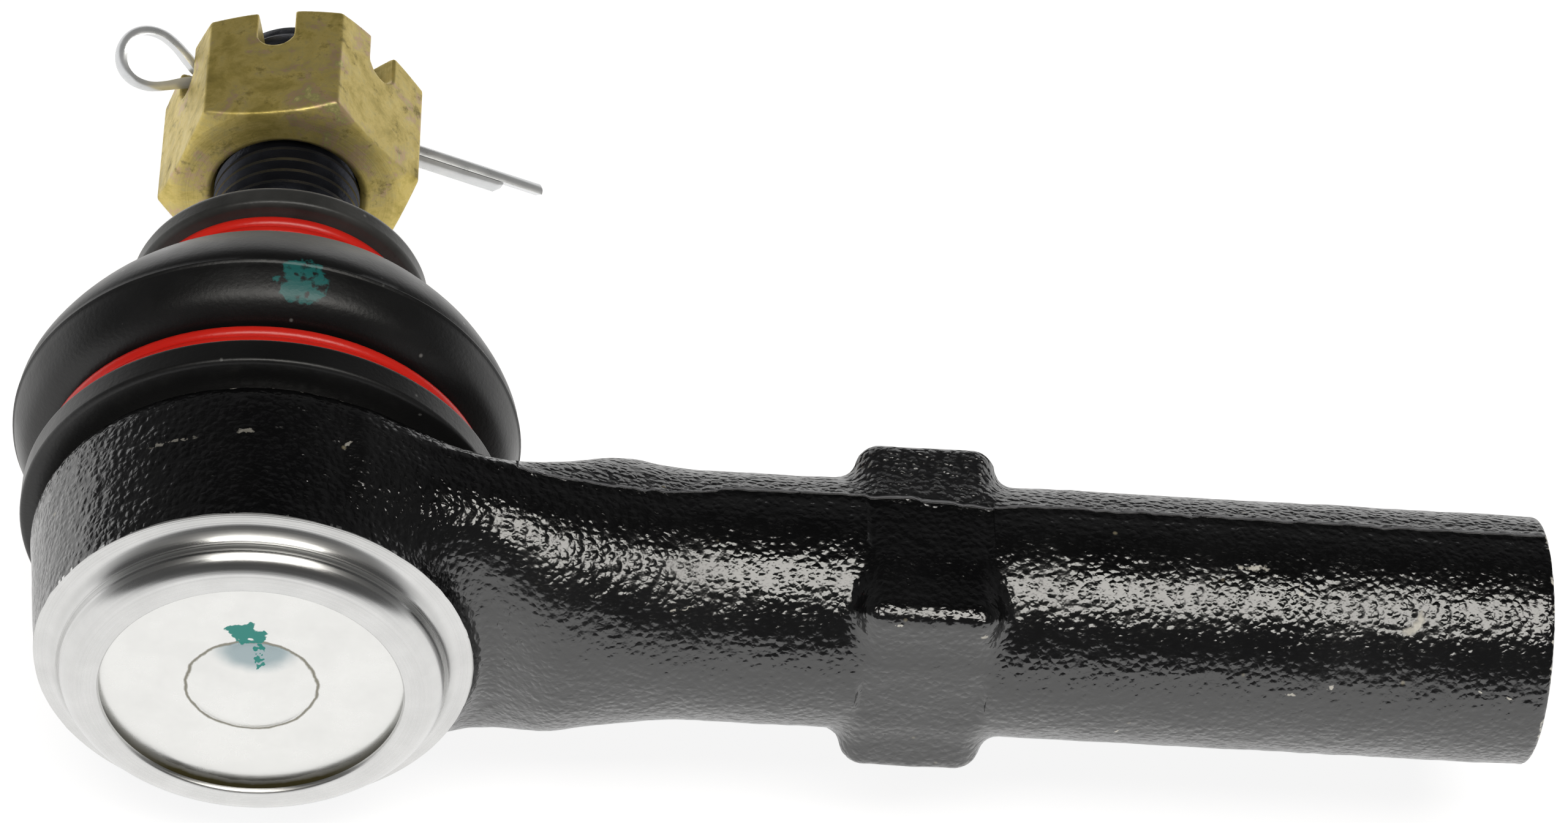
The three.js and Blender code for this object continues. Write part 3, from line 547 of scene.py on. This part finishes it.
silver = add(tree, "ShaderNodeMix", {0: paint, 6: silver, 7: linear("#1f8a80")}, data_type="RGBA")
plug(tree, silver, shader.inputs["Base Color"])
rust_shade_and_paint = add(tree, "ShaderNodeMath", {0: rust_and_painted_shade, 1: paint}, operation="MAXIMUM")
metal = add(tree, "ShaderNodeMath", {0: 1, 1: rust_shade_and_paint}, operation="SUBTRACT", use_clamp=True)
plug(tree, metal, shader.inputs["Metallic"])
satin = add(tree, "ShaderNodeMapRange", {0: cloud, 1: 0.3, 2: 0.7, 3: 0.14, 4: 0.34})
satin = add(tree, "ShaderNodeMix", {0: rust_shade_and_paint, 2: satin, 3: 0.5})
plug(tree, satin, shader.inputs["Roughness"])
pits = add(tree, "ShaderNodeBump", {"Height": cloud, "Distance": 0.00002})
plug(tree, pits, shader.inputs["Normal"])
cover.data.materials.append(zinc)
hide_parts("cover_plate")
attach(cover, "socket")

# ---- Bearings and disc spring ----
# Two moulded resin seats hold the ball from above and below, and a hardened disc spring under the
# lower one takes up wear. They lie loose in the bore, in grease, and the closing plate holds them in.
SEAT = 10.6
resin, tree, shader, place = new_material("moulded_acetal", IOR=1.48, Roughness=0.42, Subsurface_Weight=0.1)
shader.inputs["Subsurface Radius"].default_value = (0.001, 0.001, 0.0008)
flow = add(tree, "ShaderNodeTexNoise", {"Vector": place, "Scale": 120, "Detail": 3})
milk = add(tree, "ShaderNodeMix", {0: flow, 6: linear("#cfc9b4"), 7: linear("#e4e0d0")}, data_type="RGBA")
plug(tree, milk, shader.inputs["Base Color"])
seat_low = [(6.7, 3.4), (13.4, 3.4), (13.6, 3.6), (13.6, 13.3), (13.45, 13.45)]
seat_low += arc(0, AXIS, SEAT, -0.8, -50.8, 14)
seat_high = [(13.6, 13.9), (13.6, 18.55), (13.4, 18.75)] + arc(0, AXIS, SEAT, 29, 0.8, 10) + [(13.4, 13.75)]
for name, profile, node, body in (
    ("lower_ball_seat", seat_low, "lower_bearing", "swing_guide"),
    ("upper_ball_seat", seat_high, "upper_bearing", "socket"),
):
    seat = shaped(name, *lathe(profile + profile[:1], about_stud, 96), 30)
    seat.data.materials.append(resin)
    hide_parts(node)
    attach(seat, body)
spring_steel, tree, shader, place = new_material("blued_spring_steel", Metallic=1)
heat = add(tree, "ShaderNodeTexNoise", {"Vector": place, "Scale": 150, "Detail": 4})
blue = add(tree, "ShaderNodeMix", {0: heat, 6: linear("#4a5160"), 7: linear("#6a6560")}, data_type="RGBA")
plug(tree, blue, shader.inputs["Base Color"])
oiled = add(tree, "ShaderNodeMapRange", {0: heat, 3: 0.25, 4: 0.45})
plug(tree, oiled, shader.inputs["Roughness"])
cone = [(13.3, 2.15), (13.3, 2.65), (13.2, 2.7), (7.8, 3.1)]
cone += [(7.7, 3.05), (7.7, 2.55), (7.8, 2.5), (13.2, 2.1)]
spring = shaped("disc_spring", *lathe(cone + cone[:1], about_stud, 96), 30)
spring.data.materials.append(spring_steel)
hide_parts("preload_spring")
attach(spring, "socket")

# ---- Ball stud ----
# Forged and turned from alloy steel in one piece with its ball, then phosphated and oiled black.
# The M14 x 1.5 thread is rolled, and its ridges shine where the oil stands on them.
BALL = 10.3
STUD_TOP = 79.9
THREAD_START = 55.5
THREAD_END = STUD_TOP - 1.4
ROOT, CREST = 6.2, 6.98
PIN_HEIGHT = 73.45
PIN_TURN = np.radians(19.7)  # direction of the split pin about the stud, from the shank
shank_part = [(0, AXIS - 9.08)] + arc(0, AXIS, BALL, -62, 53.7, 36) + [(5.6, 23.1), (5.6, 28.6)]
shank_part += [(7.4, 36), (7.9, 38), (8, 38.6), (8, 42), (7.6, 46), (7.3, 52), (7, 54.4)]
shank_part += [(6.6, 55), (ROOT, THREAD_START)]
tip = [(ROOT, THREAD_END), (ROOT, STUD_TOP - 0.6), (5.7, STUD_TOP), (0, STUD_TOP)]
rolled = thread(CREST, ROOT, THREAD_START, THREAD_END, PITCH, about_stud, 96)
stud = joined(lathe(shank_part, about_stud, 96), rolled, lathe(tip, about_stud, 96))
stud = shaped("ball_stud_forging", *stud, 50)


def about_pin(a, b, along):
    """Points about the split pin's line, through the stud."""
    x = along * np.cos(PIN_TURN) + a * np.sin(PIN_TURN)
    z = -along * np.sin(PIN_TURN) + a * np.cos(PIN_TURN)
    return np.stack([x, b + PIN_HEIGHT + STUD_FOOT, z], -1)


PIN_HOLE = 1.75
drill = lathe([(0, -12), (PIN_HOLE, -12), (PIN_HOLE, 12), (0, 12)], about_pin, 32)
boolean(stud, shaped("pin_drill", *drill), "DIFFERENCE")
# Crystals of 0.4 mm, coarser than the real ones so that they show, and oily patches of 4 mm.
phosphate, tree, shader, place = new_material("black_phosphated_steel", Metallic=0.75)
crystal = add(tree, "ShaderNodeTexNoise", {"Vector": place, "Scale": 2400, "Detail": 4, "Roughness": 0.7})
patch = add(tree, "ShaderNodeTexNoise", {"Vector": place, "Scale": 260, "Detail": 3})
black = add(tree, "ShaderNodeMix", {0: patch, 6: linear("#26272b"), 7: linear("#4a4c54")}, data_type="RGBA")
plug(tree, black, shader.inputs["Base Color"])
oiled = add(tree, "ShaderNodeMapRange", {0: patch, 1: 0.35, 2: 0.65, 3: 0.14, 4: 0.36})
plug(tree, oiled, shader.inputs["Roughness"])
grain = add(tree, "ShaderNodeBump", {"Height": crystal, "Distance": 0.00003})
plug(tree, grain, shader.inputs["Normal"])
stud.data.materials.append(phosphate)
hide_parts("ball_stud")
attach(stud, "stud")

# ---- Dust boot ----
# Moulded chloroprene, satin black with a bloom of dust. Its lower lip grips the housing's collar and
# its upper lip seals on the stud's taper, so the bulge between them bends as the stud swings.
GRIP = 17.7
WALL = 1.8
BULGE = [(18.8, 25.1), (20.3, 25.4), (21.9, 26.6), (22.8, 28.6), (23.1, 30.2), (22.9, 31.6), (22, 33.6)]
BULGE += [(20.6, 35.8), (18.8, 38.1), (16.9, 39.8), (14.7, 41.2), (12.3, 42.3)]


def spline(points, steps):
    """A smooth curve through a few points."""
    from_points = np.array([points[0], *points, points[-1]], float)
    curve = []
    for a, b, c, d in zip(from_points, from_points[1:], from_points[2:], from_points[3:]):
        for t in np.arange(steps) / steps:
            cubic = (3 * b - a - 3 * c + d) * t**3
            curve.append(0.5 * (2 * b + (c - a) * t + (2 * a - 5 * b + 4 * c - d) * t**2 + cubic))
    return [tuple(p) for p in curve] + [points[-1]]


outer = spline(BULGE, 5)
seam = 29.9
radius_at_seam = np.interp(seam, [h for r, h in outer], [r for r, h in outer])
RIDGE = ((-0.2, 0), (-0.07, 0.14), (0.07, 0.14), (0.2, 0))
ridge = [(radius_at_seam + rise, seam + step) for step, rise in RIDGE]
outer = [p for p in outer if p[1] < seam - 0.3] + ridge + [p for p in outer if p[1] > seam + 0.3]
inner = [(r - WALL, h) for r, h in spline(BULGE[1:9], 3)][::-1]
lower = [(GRIP, 18.75), (17.9, 18.6), (21.4, 18.6), (21.75, 18.7), (21.9, 18.95), (21.9, 19.1)]
lower += [(21.9, 20.9), (21.9, 21.05), (21.75, 21.3), (21.3, 21.4), (19.3, 21.45), (18.9, 21.6)]
lower += [(18.8, 21.9), (18.8, 24.6)]
upper = [(11.6, 42.8), (11.1, 43.2), (11.1, 46.2), (11.4, 46.5), (13.3, 46.7), (13.8, 46.85), (13.95, 47.15)]
upper += [(13.95, 47.3), (13.95, 48.3), (13.95, 48.5), (13.8, 48.85), (13.4, 49), (9, 49)]
upper += [(8.5, 48.85), (8.3, 48.5), (8.3, 42), (8.6, 41.4), (11, 41.2), (13.6, 40.3)]
profile = lower + outer + upper + inner + [(18.2, 25.2), (GRIP, 24.8)]
points, faces = lathe(profile + profile[:1], about_stud, 160)
full = ease(points[:, 1], 24, 31) * ease(points[:, 1], 44, 36)
points += full[:, None] * (waves(points, 9, 5) * 0.16)[:, None] * points / 23 * (1, 0, 1)
points[:, 0] -= 0.2 * full
boot = shaped("rubber_boot", points, faces, 50)
# A bloom of dust in 8 mm drifts, specks in 2 mm cells and a moulded grain of 0.4 mm. They read where each
# point was moulded, so that they stay on the rubber as it bends.
moulded = np.array([corner.co for corner in boot.data.vertices], np.float32)
boot.data.attributes.new("moulded_place", "FLOAT_VECTOR", "POINT").data.foreach_set("vector", moulded.ravel())
rubber, tree, shader, _ = new_material("black_chloroprene", IOR=1.46, Sheen_Weight=0.15, Sheen_Roughness=0.4)
place = add(tree, "ShaderNodeAttribute", attribute_name="moulded_place").outputs["Vector"]
bloom = add(tree, "ShaderNodeTexNoise", {"Vector": place, "Scale": 130, "Detail": 5, "Roughness": 0.6})
parts = add(tree, "ShaderNodeSeparateXYZ", {0: place})
dusty = add(tree, "ShaderNodeMapRange", {0: parts.outputs["Y"], 1: 0.040, 2: 0.0432, 4: 0.3})
dusty = add(tree, "ShaderNodeMath", {0: dusty, 1: bloom}, operation="MULTIPLY")
base = add(tree, "ShaderNodeMix", {0: bloom, 6: linear("#090909"), 7: linear("#111112")}, data_type="RGBA")
base = add(tree, "ShaderNodeMix", {0: dusty, 6: base, 7: linear("#8b8b88")}, data_type="RGBA")
cells = add(tree, "ShaderNodeTexVoronoi", {"Vector": place, "Scale": 520})
rare = add(tree, "ShaderNodeSeparateColor", {0: cells.outputs["Color"]})
rare = add(tree, "ShaderNodeMath", {0: rare, 1: 0.8}, operation="GREATER_THAN")
dot = add(tree, "ShaderNodeMapRange", {0: cells, 1: 0.12, 2: 0.04, 4: 0.5})
dust = add(tree, "ShaderNodeMath", {0: rare, 1: dot}, operation="MULTIPLY")
base = add(tree, "ShaderNodeMix", {0: dust, 6: base, 7: linear("#9a9a98")}, data_type="RGBA")
edge = add(tree, "ShaderNodeTexNoise", {"Vector": place, "Scale": 1100, "Detail": 4})
edge_offset = add(tree, "ShaderNodeVectorMath", {0: edge.outputs["Color"], 1: MIDDLE}, operation="SUBTRACT")
edge_offset = add(tree, "ShaderNodeVectorMath", {0: edge_offset, "Scale": 0.0022}, operation="SCALE")
dabbed = add(tree, "ShaderNodeVectorMath", {0: place, 1: edge_offset})
away = add(tree, "ShaderNodeVectorMath", {0: dabbed, 1: Vector((2.4, 28.7, 22.6)) * MM}, operation="DISTANCE")
dab = add(tree, "ShaderNodeMapRange", {0: away, 1: 0.0024, 2: 0.0022, 4: 0.9})
mottle = add(tree, "ShaderNodeMapRange", {0: edge, 1: 0.4, 2: 0.5})
dab = add(tree, "ShaderNodeMath", {0: dab, 1: mottle}, operation="MULTIPLY")
base = add(tree, "ShaderNodeMix", {0: dab, 6: base, 7: linear("#11615f")}, data_type="RGBA")
plug(tree, base, shader.inputs["Base Color"])
satin = add(tree, "ShaderNodeMapRange", {0: bloom, 1: 0.3, 2: 0.7, 3: 0.33, 4: 0.46})
plug(tree, satin, shader.inputs["Roughness"])
skin_grain = add(tree, "ShaderNodeTexNoise", {"Vector": place, "Scale": 2600, "Detail": 2})
grain = add(tree, "ShaderNodeBump", {"Height": skin_grain, "Distance": 0.00002})
plug(tree, grain, shader.inputs["Normal"])
boot.data.materials.append(rubber)
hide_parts("dust_boot")
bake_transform(boot)

# ---- Boot rings ----
# Two turns of spring wire in a red nylon coat, sprung into each of the boot's grooves.
# The coat is smooth and glossy, and its red drifts a little along the wire.
red_coat, tree, shader, place = new_material("red_nylon_coating", IOR=1.53, Roughness=0.3)
shade = add(tree, "ShaderNodeTexNoise", {"Vector": place, "Scale": 180, "Detail": 3})
red = add(tree, "ShaderNodeMix", {0: shade, 6: linear("#c8140c"), 7: linear("#e62c1c")}, data_type="RGBA")
plug(tree, red, shader.inputs["Base Color"])
coat_grain = add(tree, "ShaderNodeTexNoise", {"Vector": place, "Scale": 1500, "Detail": 2})
grain = add(tree, "ShaderNodeBump", {"Height": coat_grain, "Distance": 0.00002})
plug(tree, grain, shader.inputs["Normal"])

coil = bpy.data.node_groups.new("wire_ring", "GeometryNodeTree")
coil.is_modifier = True
SIZES = {"Ring Radius": 0.0199, "Wire Radius": 0.0007, "Pitch": 0.0013}
SIZES |= {"Turns": 2.0, "Height": 0.024, "First Angle": 0.0}
sockets = {}
for name, value in SIZES.items():
    socket = coil.interface.new_socket(name, in_out="INPUT", socket_type="NodeSocketFloat")
    socket.default_value = value
    sockets[name] = socket.identifier
coil.interface.new_socket("Geometry", in_out="OUTPUT", socket_type="NodeSocketGeometry")
size = add(coil, "NodeGroupInput").outputs
rise = add(coil, "ShaderNodeMath", {0: size["Pitch"], 1: size["Turns"]}, operation="MULTIPLY")
turns = {"Resolution": 96, "Rotations": size["Turns"], "Height": rise}
turns |= {"Start Radius": size["Ring Radius"], "End Radius": size["Ring Radius"]}
helix = add(coil, "GeometryNodeCurveSpiral", turns)
wire = add(coil, "GeometryNodeCurvePrimitiveCircle", {"Resolution": 16, "Radius": size["Wire Radius"]})
tube = add(coil, "GeometryNodeCurveToMesh", {"Curve": helix, "Profile Curve": wire, "Fill Caps": True})
half_rise = add(coil, "ShaderNodeMath", {0: rise, 1: -0.5}, operation="MULTIPLY")
middle = add(coil, "ShaderNodeCombineXYZ", {"Z": half_rise})
turn = add(coil, "ShaderNodeCombineXYZ", {"Z": size["First Angle"]})
tube = add(coil, "GeometryNodeTransform", {"Geometry": tube, "Translation": middle})
tube = add(coil, "GeometryNodeTransform", {"Geometry": tube, "Rotation": turn})
place_up = add(coil, "ShaderNodeCombineXYZ", {"Y": size["Height"]})
laid = {"Geometry": tube, "Translation": place_up, "Rotation": (-np.pi / 2, 0, 0)}
tube = add(coil, "GeometryNodeTransform", laid)
tube = add(coil, "GeometryNodeSetShadeSmooth", {"Geometry": tube})
tube = add(coil, "GeometryNodeRealizeInstances", {"Geometry": tube})
tube = add(coil, "GeometryNodeSetMaterial", {"Geometry": tube, "Material": red_coat})
add(coil, "NodeGroupOutput", {0: tube})

for name, node, body, radius, first in (
    ("lower_wire_ring", "boot_lower_ring", "socket", 0.0198, 2.6),
    ("upper_wire_ring", "boot_upper_ring", "tilt_guide", 0.0121, 3.4),
):
    lowest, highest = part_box(node)
    ring_wire = bpy.data.objects.new(name, bpy.data.meshes.new(name))
    bpy.context.scene.collection.objects.link(ring_wire)
    winding = ring_wire.modifiers.new("winding", "NODES")
    winding.node_group = coil
    winding[sockets["Ring Radius"]] = radius
    winding[sockets["Pitch"]] = 0.0012
    winding[sockets["Turns"]] = 1.98
    winding[sockets["Height"]] = (lowest.y + highest.y) / 2
    winding[sockets["First Angle"]] = first
    plain(ring_wire)
    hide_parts(node)
    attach(ring_wire, body)

# ---- Castle nut ----
# A 22 mm hexagon of steel with six slots for the split pin, zinc plated and yellow passivated.
# The passivate is a thin film, so its gold drifts to green, pink and olive over the machined faces.
NUT_SEAT = 62
NUT_TOP = 76.5
NUT_HALF = 11
SLOT_HALF = 1.8
SLOT_FLOOR = 71.7


def nut_body(x, y, z):
    """Distance from the nut's surface, in millimetres."""
    height = y - STUD_FOOT
    angle = np.arctan2(-z, x) - PIN_TURN
    radius = np.hypot(x, z)
    sector = (angle + np.pi / 6) % (np.pi / 3) - np.pi / 6
    flat = radius * np.cos(sector) - NUT_HALF
    beside = radius * np.abs(np.sin(sector))
    hexagon = round_corner(flat, (flat + NUT_HALF) * 0.5 + beside * np.cos(np.pi / 6) - NUT_HALF, 0.22)
    bevel = np.maximum(NUT_SEAT - height, height - NUT_TOP)
    cone = (bevel * 2 + radius - 10.75) / np.hypot(2, 1)
    ends = round_corner(bevel, cone, 0.3)
    body = round_corner(hexagon, ends, 0.2)
    round_slot = np.hypot(beside, height - SLOT_FLOOR - SLOT_HALF) - SLOT_HALF
    slot = np.where(height > SLOT_FLOOR + SLOT_HALF, beside - SLOT_HALF, round_slot)
    body = round_corner(body, -slot, 0.18)
    turns = (height / PITCH - angle / (2 * np.pi)) * 2 * np.pi
    bore = radius - 6.95 - 0.32 * np.clip(0.5 + np.sin(turns), 0, 1)
    mouth = radius - 7.6 + np.minimum(height - NUT_SEAT, NUT_TOP - height) * 1.2
    return round_corner(body, -np.minimum(bore, mouth), 0.15)


reach = NUT_HALF / np.cos(np.pi / 6) + 0.5
low = (-reach, NUT_SEAT + STUD_FOOT - 0.5, -reach)
high = (reach, NUT_TOP + STUD_FOOT + 0.5, reach)
points, faces = skin(nut_body, low, high, GRID / 2)
nut = shaped("slotted_nut", points, faces, 60)
# The film's tint drifts over 5 mm, under 2 mm stains and the facing tool's rings, 0.26 mm apart.
passivate, tree, shader, place = new_material("yellow_passivated_zinc", Metallic=0.7)
film = {"Vector": place, "Scale": 200, "Detail": 8, "Roughness": 0.72, "Distortion": 0.3}
film = add(tree, "ShaderNodeTexNoise", film)
tints = add(tree, "ShaderNodeValToRGB", {0: film})
tints.color_ramp.elements[0].position = 0.3
tints.color_ramp.elements[0].color = linear("#ac9a52")
tints.color_ramp.elements[1].position = 0.7
tints.color_ramp.elements[1].color = linear("#efdf9a")
TINTS = ((0.42, "#c6b263"), (0.5, "#d9c476"), (0.56, "#cebd78"), (0.6, "#cfae8c"), (0.64, "#c2bd7a"))
for position, tint in TINTS:
    tints.color_ramp.elements.new(position).color = linear(tint)
stains = add(tree, "ShaderNodeTexNoise", {"Vector": place, "Scale": 520, "Detail": 6, "Roughness": 0.7})
pitted = add(tree, "ShaderNodeMapRange", {0: stains, 1: 0.56, 2: 0.68, 4: 0.6})
gold = add(tree, "ShaderNodeMix", {0: pitted, 6: tints, 7: linear("#5f5227")}, data_type="RGBA")
plug(tree, gold, shader.inputs["Base Color"])
satin = add(tree, "ShaderNodeMapRange", {0: stains, 1: 0.3, 2: 0.7, 3: 0.36, 4: 0.58})
plug(tree, satin, shader.inputs["Roughness"])
flat = add(tree, "ShaderNodeVectorMath", {0: place, 1: (1, 0, 1)}, operation="MULTIPLY")
ring = add(tree, "ShaderNodeVectorMath", {0: flat}, operation="LENGTH")
facing = add(tree, "ShaderNodeTexNoise", {"W": ring, "Scale": 3800, "Detail": 2}, noise_dimensions="1D")
faced = add(tree, "ShaderNodeBump", {"Height": facing, "Distance": 0.000014})
rough = add(tree, "ShaderNodeBump", {"Height": stains, "Normal": faced, "Distance": 0.00004})
plug(tree, rough, shader.inputs["Normal"])
nut.data.materials.append(passivate)
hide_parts("castle_nut")
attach(nut, "stud")

# ---- Split pin ----
# Half-round steel wire, zinc plated, folded round an eye so that its flats meet and the two legs make
# one round pin. It goes through a slot of the nut and the hole in the stud; one leg is longer.
WIRE = 1.05
BREADTH = 1.15  # the wire is a little wider than it is high
PIN_ROLL = np.radians(42)
EYE = [(-9.4, 0.03), (-10.4, 0.2), (-11.5, 0.8), (-12.9, 1.65), (-14.4, 2.2)]
EYE += [(-15.9, 2.1), (-17, 1.3), (-17.4, 0)]
eye = spline(EYE + [(x, -n) for x, n in EYE[-2::-1]], 5)
long_leg = [(x, 0.03) for x in (26, 25.8, 18, 9, 0)]
short_leg = [(x, -0.03) for x in (0, 9, 18, 21.4, 21.9)]
line = np.array(long_leg + eye + short_leg)
behind = np.diff(line, axis=0, prepend=2 * line[:1] - line[1:2])
ahead = np.diff(line, axis=0, append=2 * line[-1:] - line[-2:-1])
tangent = behind + ahead
tangent /= np.linalg.norm(tangent, axis=1)[:, None]
out = np.stack([tangent[:, 1], -tangent[:, 0]], 1)
thick = WIRE - 0.15 * ease(-line[:, 0], 11, 13)
thick[[0, -1]] *= (0.8, 0.6)
sweep = np.radians(np.linspace(0, 180, 11))
rings = []
for centre, away, high in zip(line, out, thick):
    for angle in sweep:
        lift = high * np.sin(angle)
        rings.append((*(centre + away * lift), WIRE * BREADTH * np.cos(angle)))
rings = np.array(rings)
along, n, side = rings.T
a = side * np.cos(PIN_ROLL) + n * np.sin(PIN_ROLL)
b = -side * np.sin(PIN_ROLL) + n * np.cos(PIN_ROLL)
b += 1.4 * ease(-along, 4, 13)  # the eye stands a little higher than the legs
points = about_pin(a, b, along)
across = len(sweep)
faces = []
last_row = (len(line) - 1) * across
for row in range(0, last_row, across):
    for k in range(across):
        after = (k + 1) % across
        faces.append([row + k, row + after, row + across + after, row + across + k])
faces.append(list(range(across)))
faces.append(list(range(last_row, last_row + across)))
pin = shaped("split_pin_wire", points, faces, 40)
# Zinc on drawn wire: bright, with faint marks 1.4 mm apart.
wire_zinc, tree, shader, place = new_material("bright_drawn_wire", Metallic=0.6)
drawn = add(tree, "ShaderNodeTexNoise", {"Vector": place, "Scale": 700, "Detail": 4})
silver = add(tree, "ShaderNodeMix", {0: drawn, 6: linear("#c4c7ca"), 7: linear("#f0f1f2")}, data_type="RGBA")
plug(tree, silver, shader.inputs["Base Color"])
satin = add(tree, "ShaderNodeMapRange", {0: drawn, 3: 0.2, 4: 0.4})
plug(tree, satin, shader.inputs["Roughness"])
grain = add(tree, "ShaderNodeBump", {"Height": drawn, "Distance": 0.00002})
plug(tree, grain, shader.inputs["Normal"])
pin.data.materials.append(wire_zinc)
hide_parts("cotter_pin")
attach(pin, "split_pin")

# ---- Studio ----
# The part lies on a white sheet, under a soft box that hangs above it and a little in front. A weak wash
# from straight above evens the sheet and isn't mirrored in the gloss. The walls fade from pale at the
# floor to nearly black overhead, which keeps the enamel black.
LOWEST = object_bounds()[0].z
SHEET = 6
floor_mesh = bpy.data.meshes.new("floor")
corners = [(-SHEET, -SHEET), (SHEET, -SHEET), (SHEET, SHEET), (-SHEET, SHEET)]
floor_mesh.from_pydata([(x, y, LOWEST) for x, y in corners], [], [(0, 1, 2, 3)])
floor = bpy.data.objects.new("floor", floor_mesh)
bpy.context.scene.collection.objects.link(floor)
paper, tree, shader, _ = new_material("white_paper", Roughness=0.9, Emission_Strength=0.88)
shader.inputs["Emission Color"].default_value = (1, 1, 1, 1)
shader.inputs["Base Color"].default_value = linear("#a8a8a8")
shader.inputs["Specular IOR Level"].default_value = 0.1
floor_mesh.materials.append(paper)


def soft_light(name, width, depth, power, target, azimuth, elevation, distance):
    """An area light that looks at a point. Azimuth 0 is in front, along -Y."""
    lamp = bpy.data.lights.new(name, "AREA")
    lamp.shape = "RECTANGLE"
    lamp.size, lamp.size_y, lamp.energy = width, depth, power
    made = bpy.data.objects.new(name, lamp)
    azimuth, elevation = np.radians(azimuth), np.radians(elevation)
    level = np.cos(elevation)
    away = Vector((np.sin(azimuth) * level, -np.cos(azimuth) * level, np.sin(elevation)))
    made.location = Vector(target) + away * distance
    made.rotation_euler = away.to_track_quat("Z", "Y").to_euler()
    bpy.context.scene.collection.objects.link(made)
    return made


middle = (0.045, 0.03, 0)
box = soft_light("soft_box", 1.1, 0.45, 8.5, middle, 6, 70, 1.1)
box.data.color = (1, 0.975, 0.92)
wash = soft_light("sheet_wash", 3, 3, 5, middle, 0, 88, 2.2)
wash.visible_glossy = False

world = bpy.data.worlds.new("studio")
world.use_nodes = True
tree = world.node_tree
ray = add(tree, "ShaderNodeTexCoord").outputs["Generated"]
rise = add(tree, "ShaderNodeSeparateXYZ", {0: ray}).outputs["Z"]
walls = add(tree, "ShaderNodeValToRGB", {0: rise})
walls.color_ramp.elements[0].position = 0.02
walls.color_ramp.elements[0].color = (0.75, 0.75, 0.75, 1)
walls.color_ramp.elements[1].position = 0.86
walls.color_ramp.elements[1].color = (0.012, 0.012, 0.012, 1)
walls.color_ramp.elements.new(0.14).color = (0.1, 0.1, 0.1, 1)
walls.color_ramp.elements.new(0.65).color = (0.06, 0.06, 0.06, 1)
seen = add(tree, "ShaderNodeLightPath").outputs["Is Camera Ray"]
dim = add(tree, "ShaderNodeMix", {0: seen, 6: walls, 7: (0.86, 0.86, 0.86, 1)}, data_type="RGBA")
plug(tree, dim, tree.nodes["Background"].inputs[0])
bpy.context.scene.world = world
bpy.context.scene.view_settings.view_transform = "Standard"

camera_data = bpy.data.cameras.new("camera")
camera_data.lens = 126.56
camera_data.sensor_width = 36
camera_data.clip_start = 0.01
camera = bpy.data.objects.new("camera", camera_data)
looking = Vector((0.07718, 0.69279, -0.71700))
upright = Vector((-0.05751, 0.72104, 0.69050))
right = looking.cross(upright)
turned = Matrix((right, upright, -looking)).transposed()
camera.matrix_world = Matrix.Translation((0.007822, -0.318980, 0.369310)) @ turned.to_4x4()
bpy.context.scene.collection.objects.link(camera)
bpy.context.scene.camera = camera
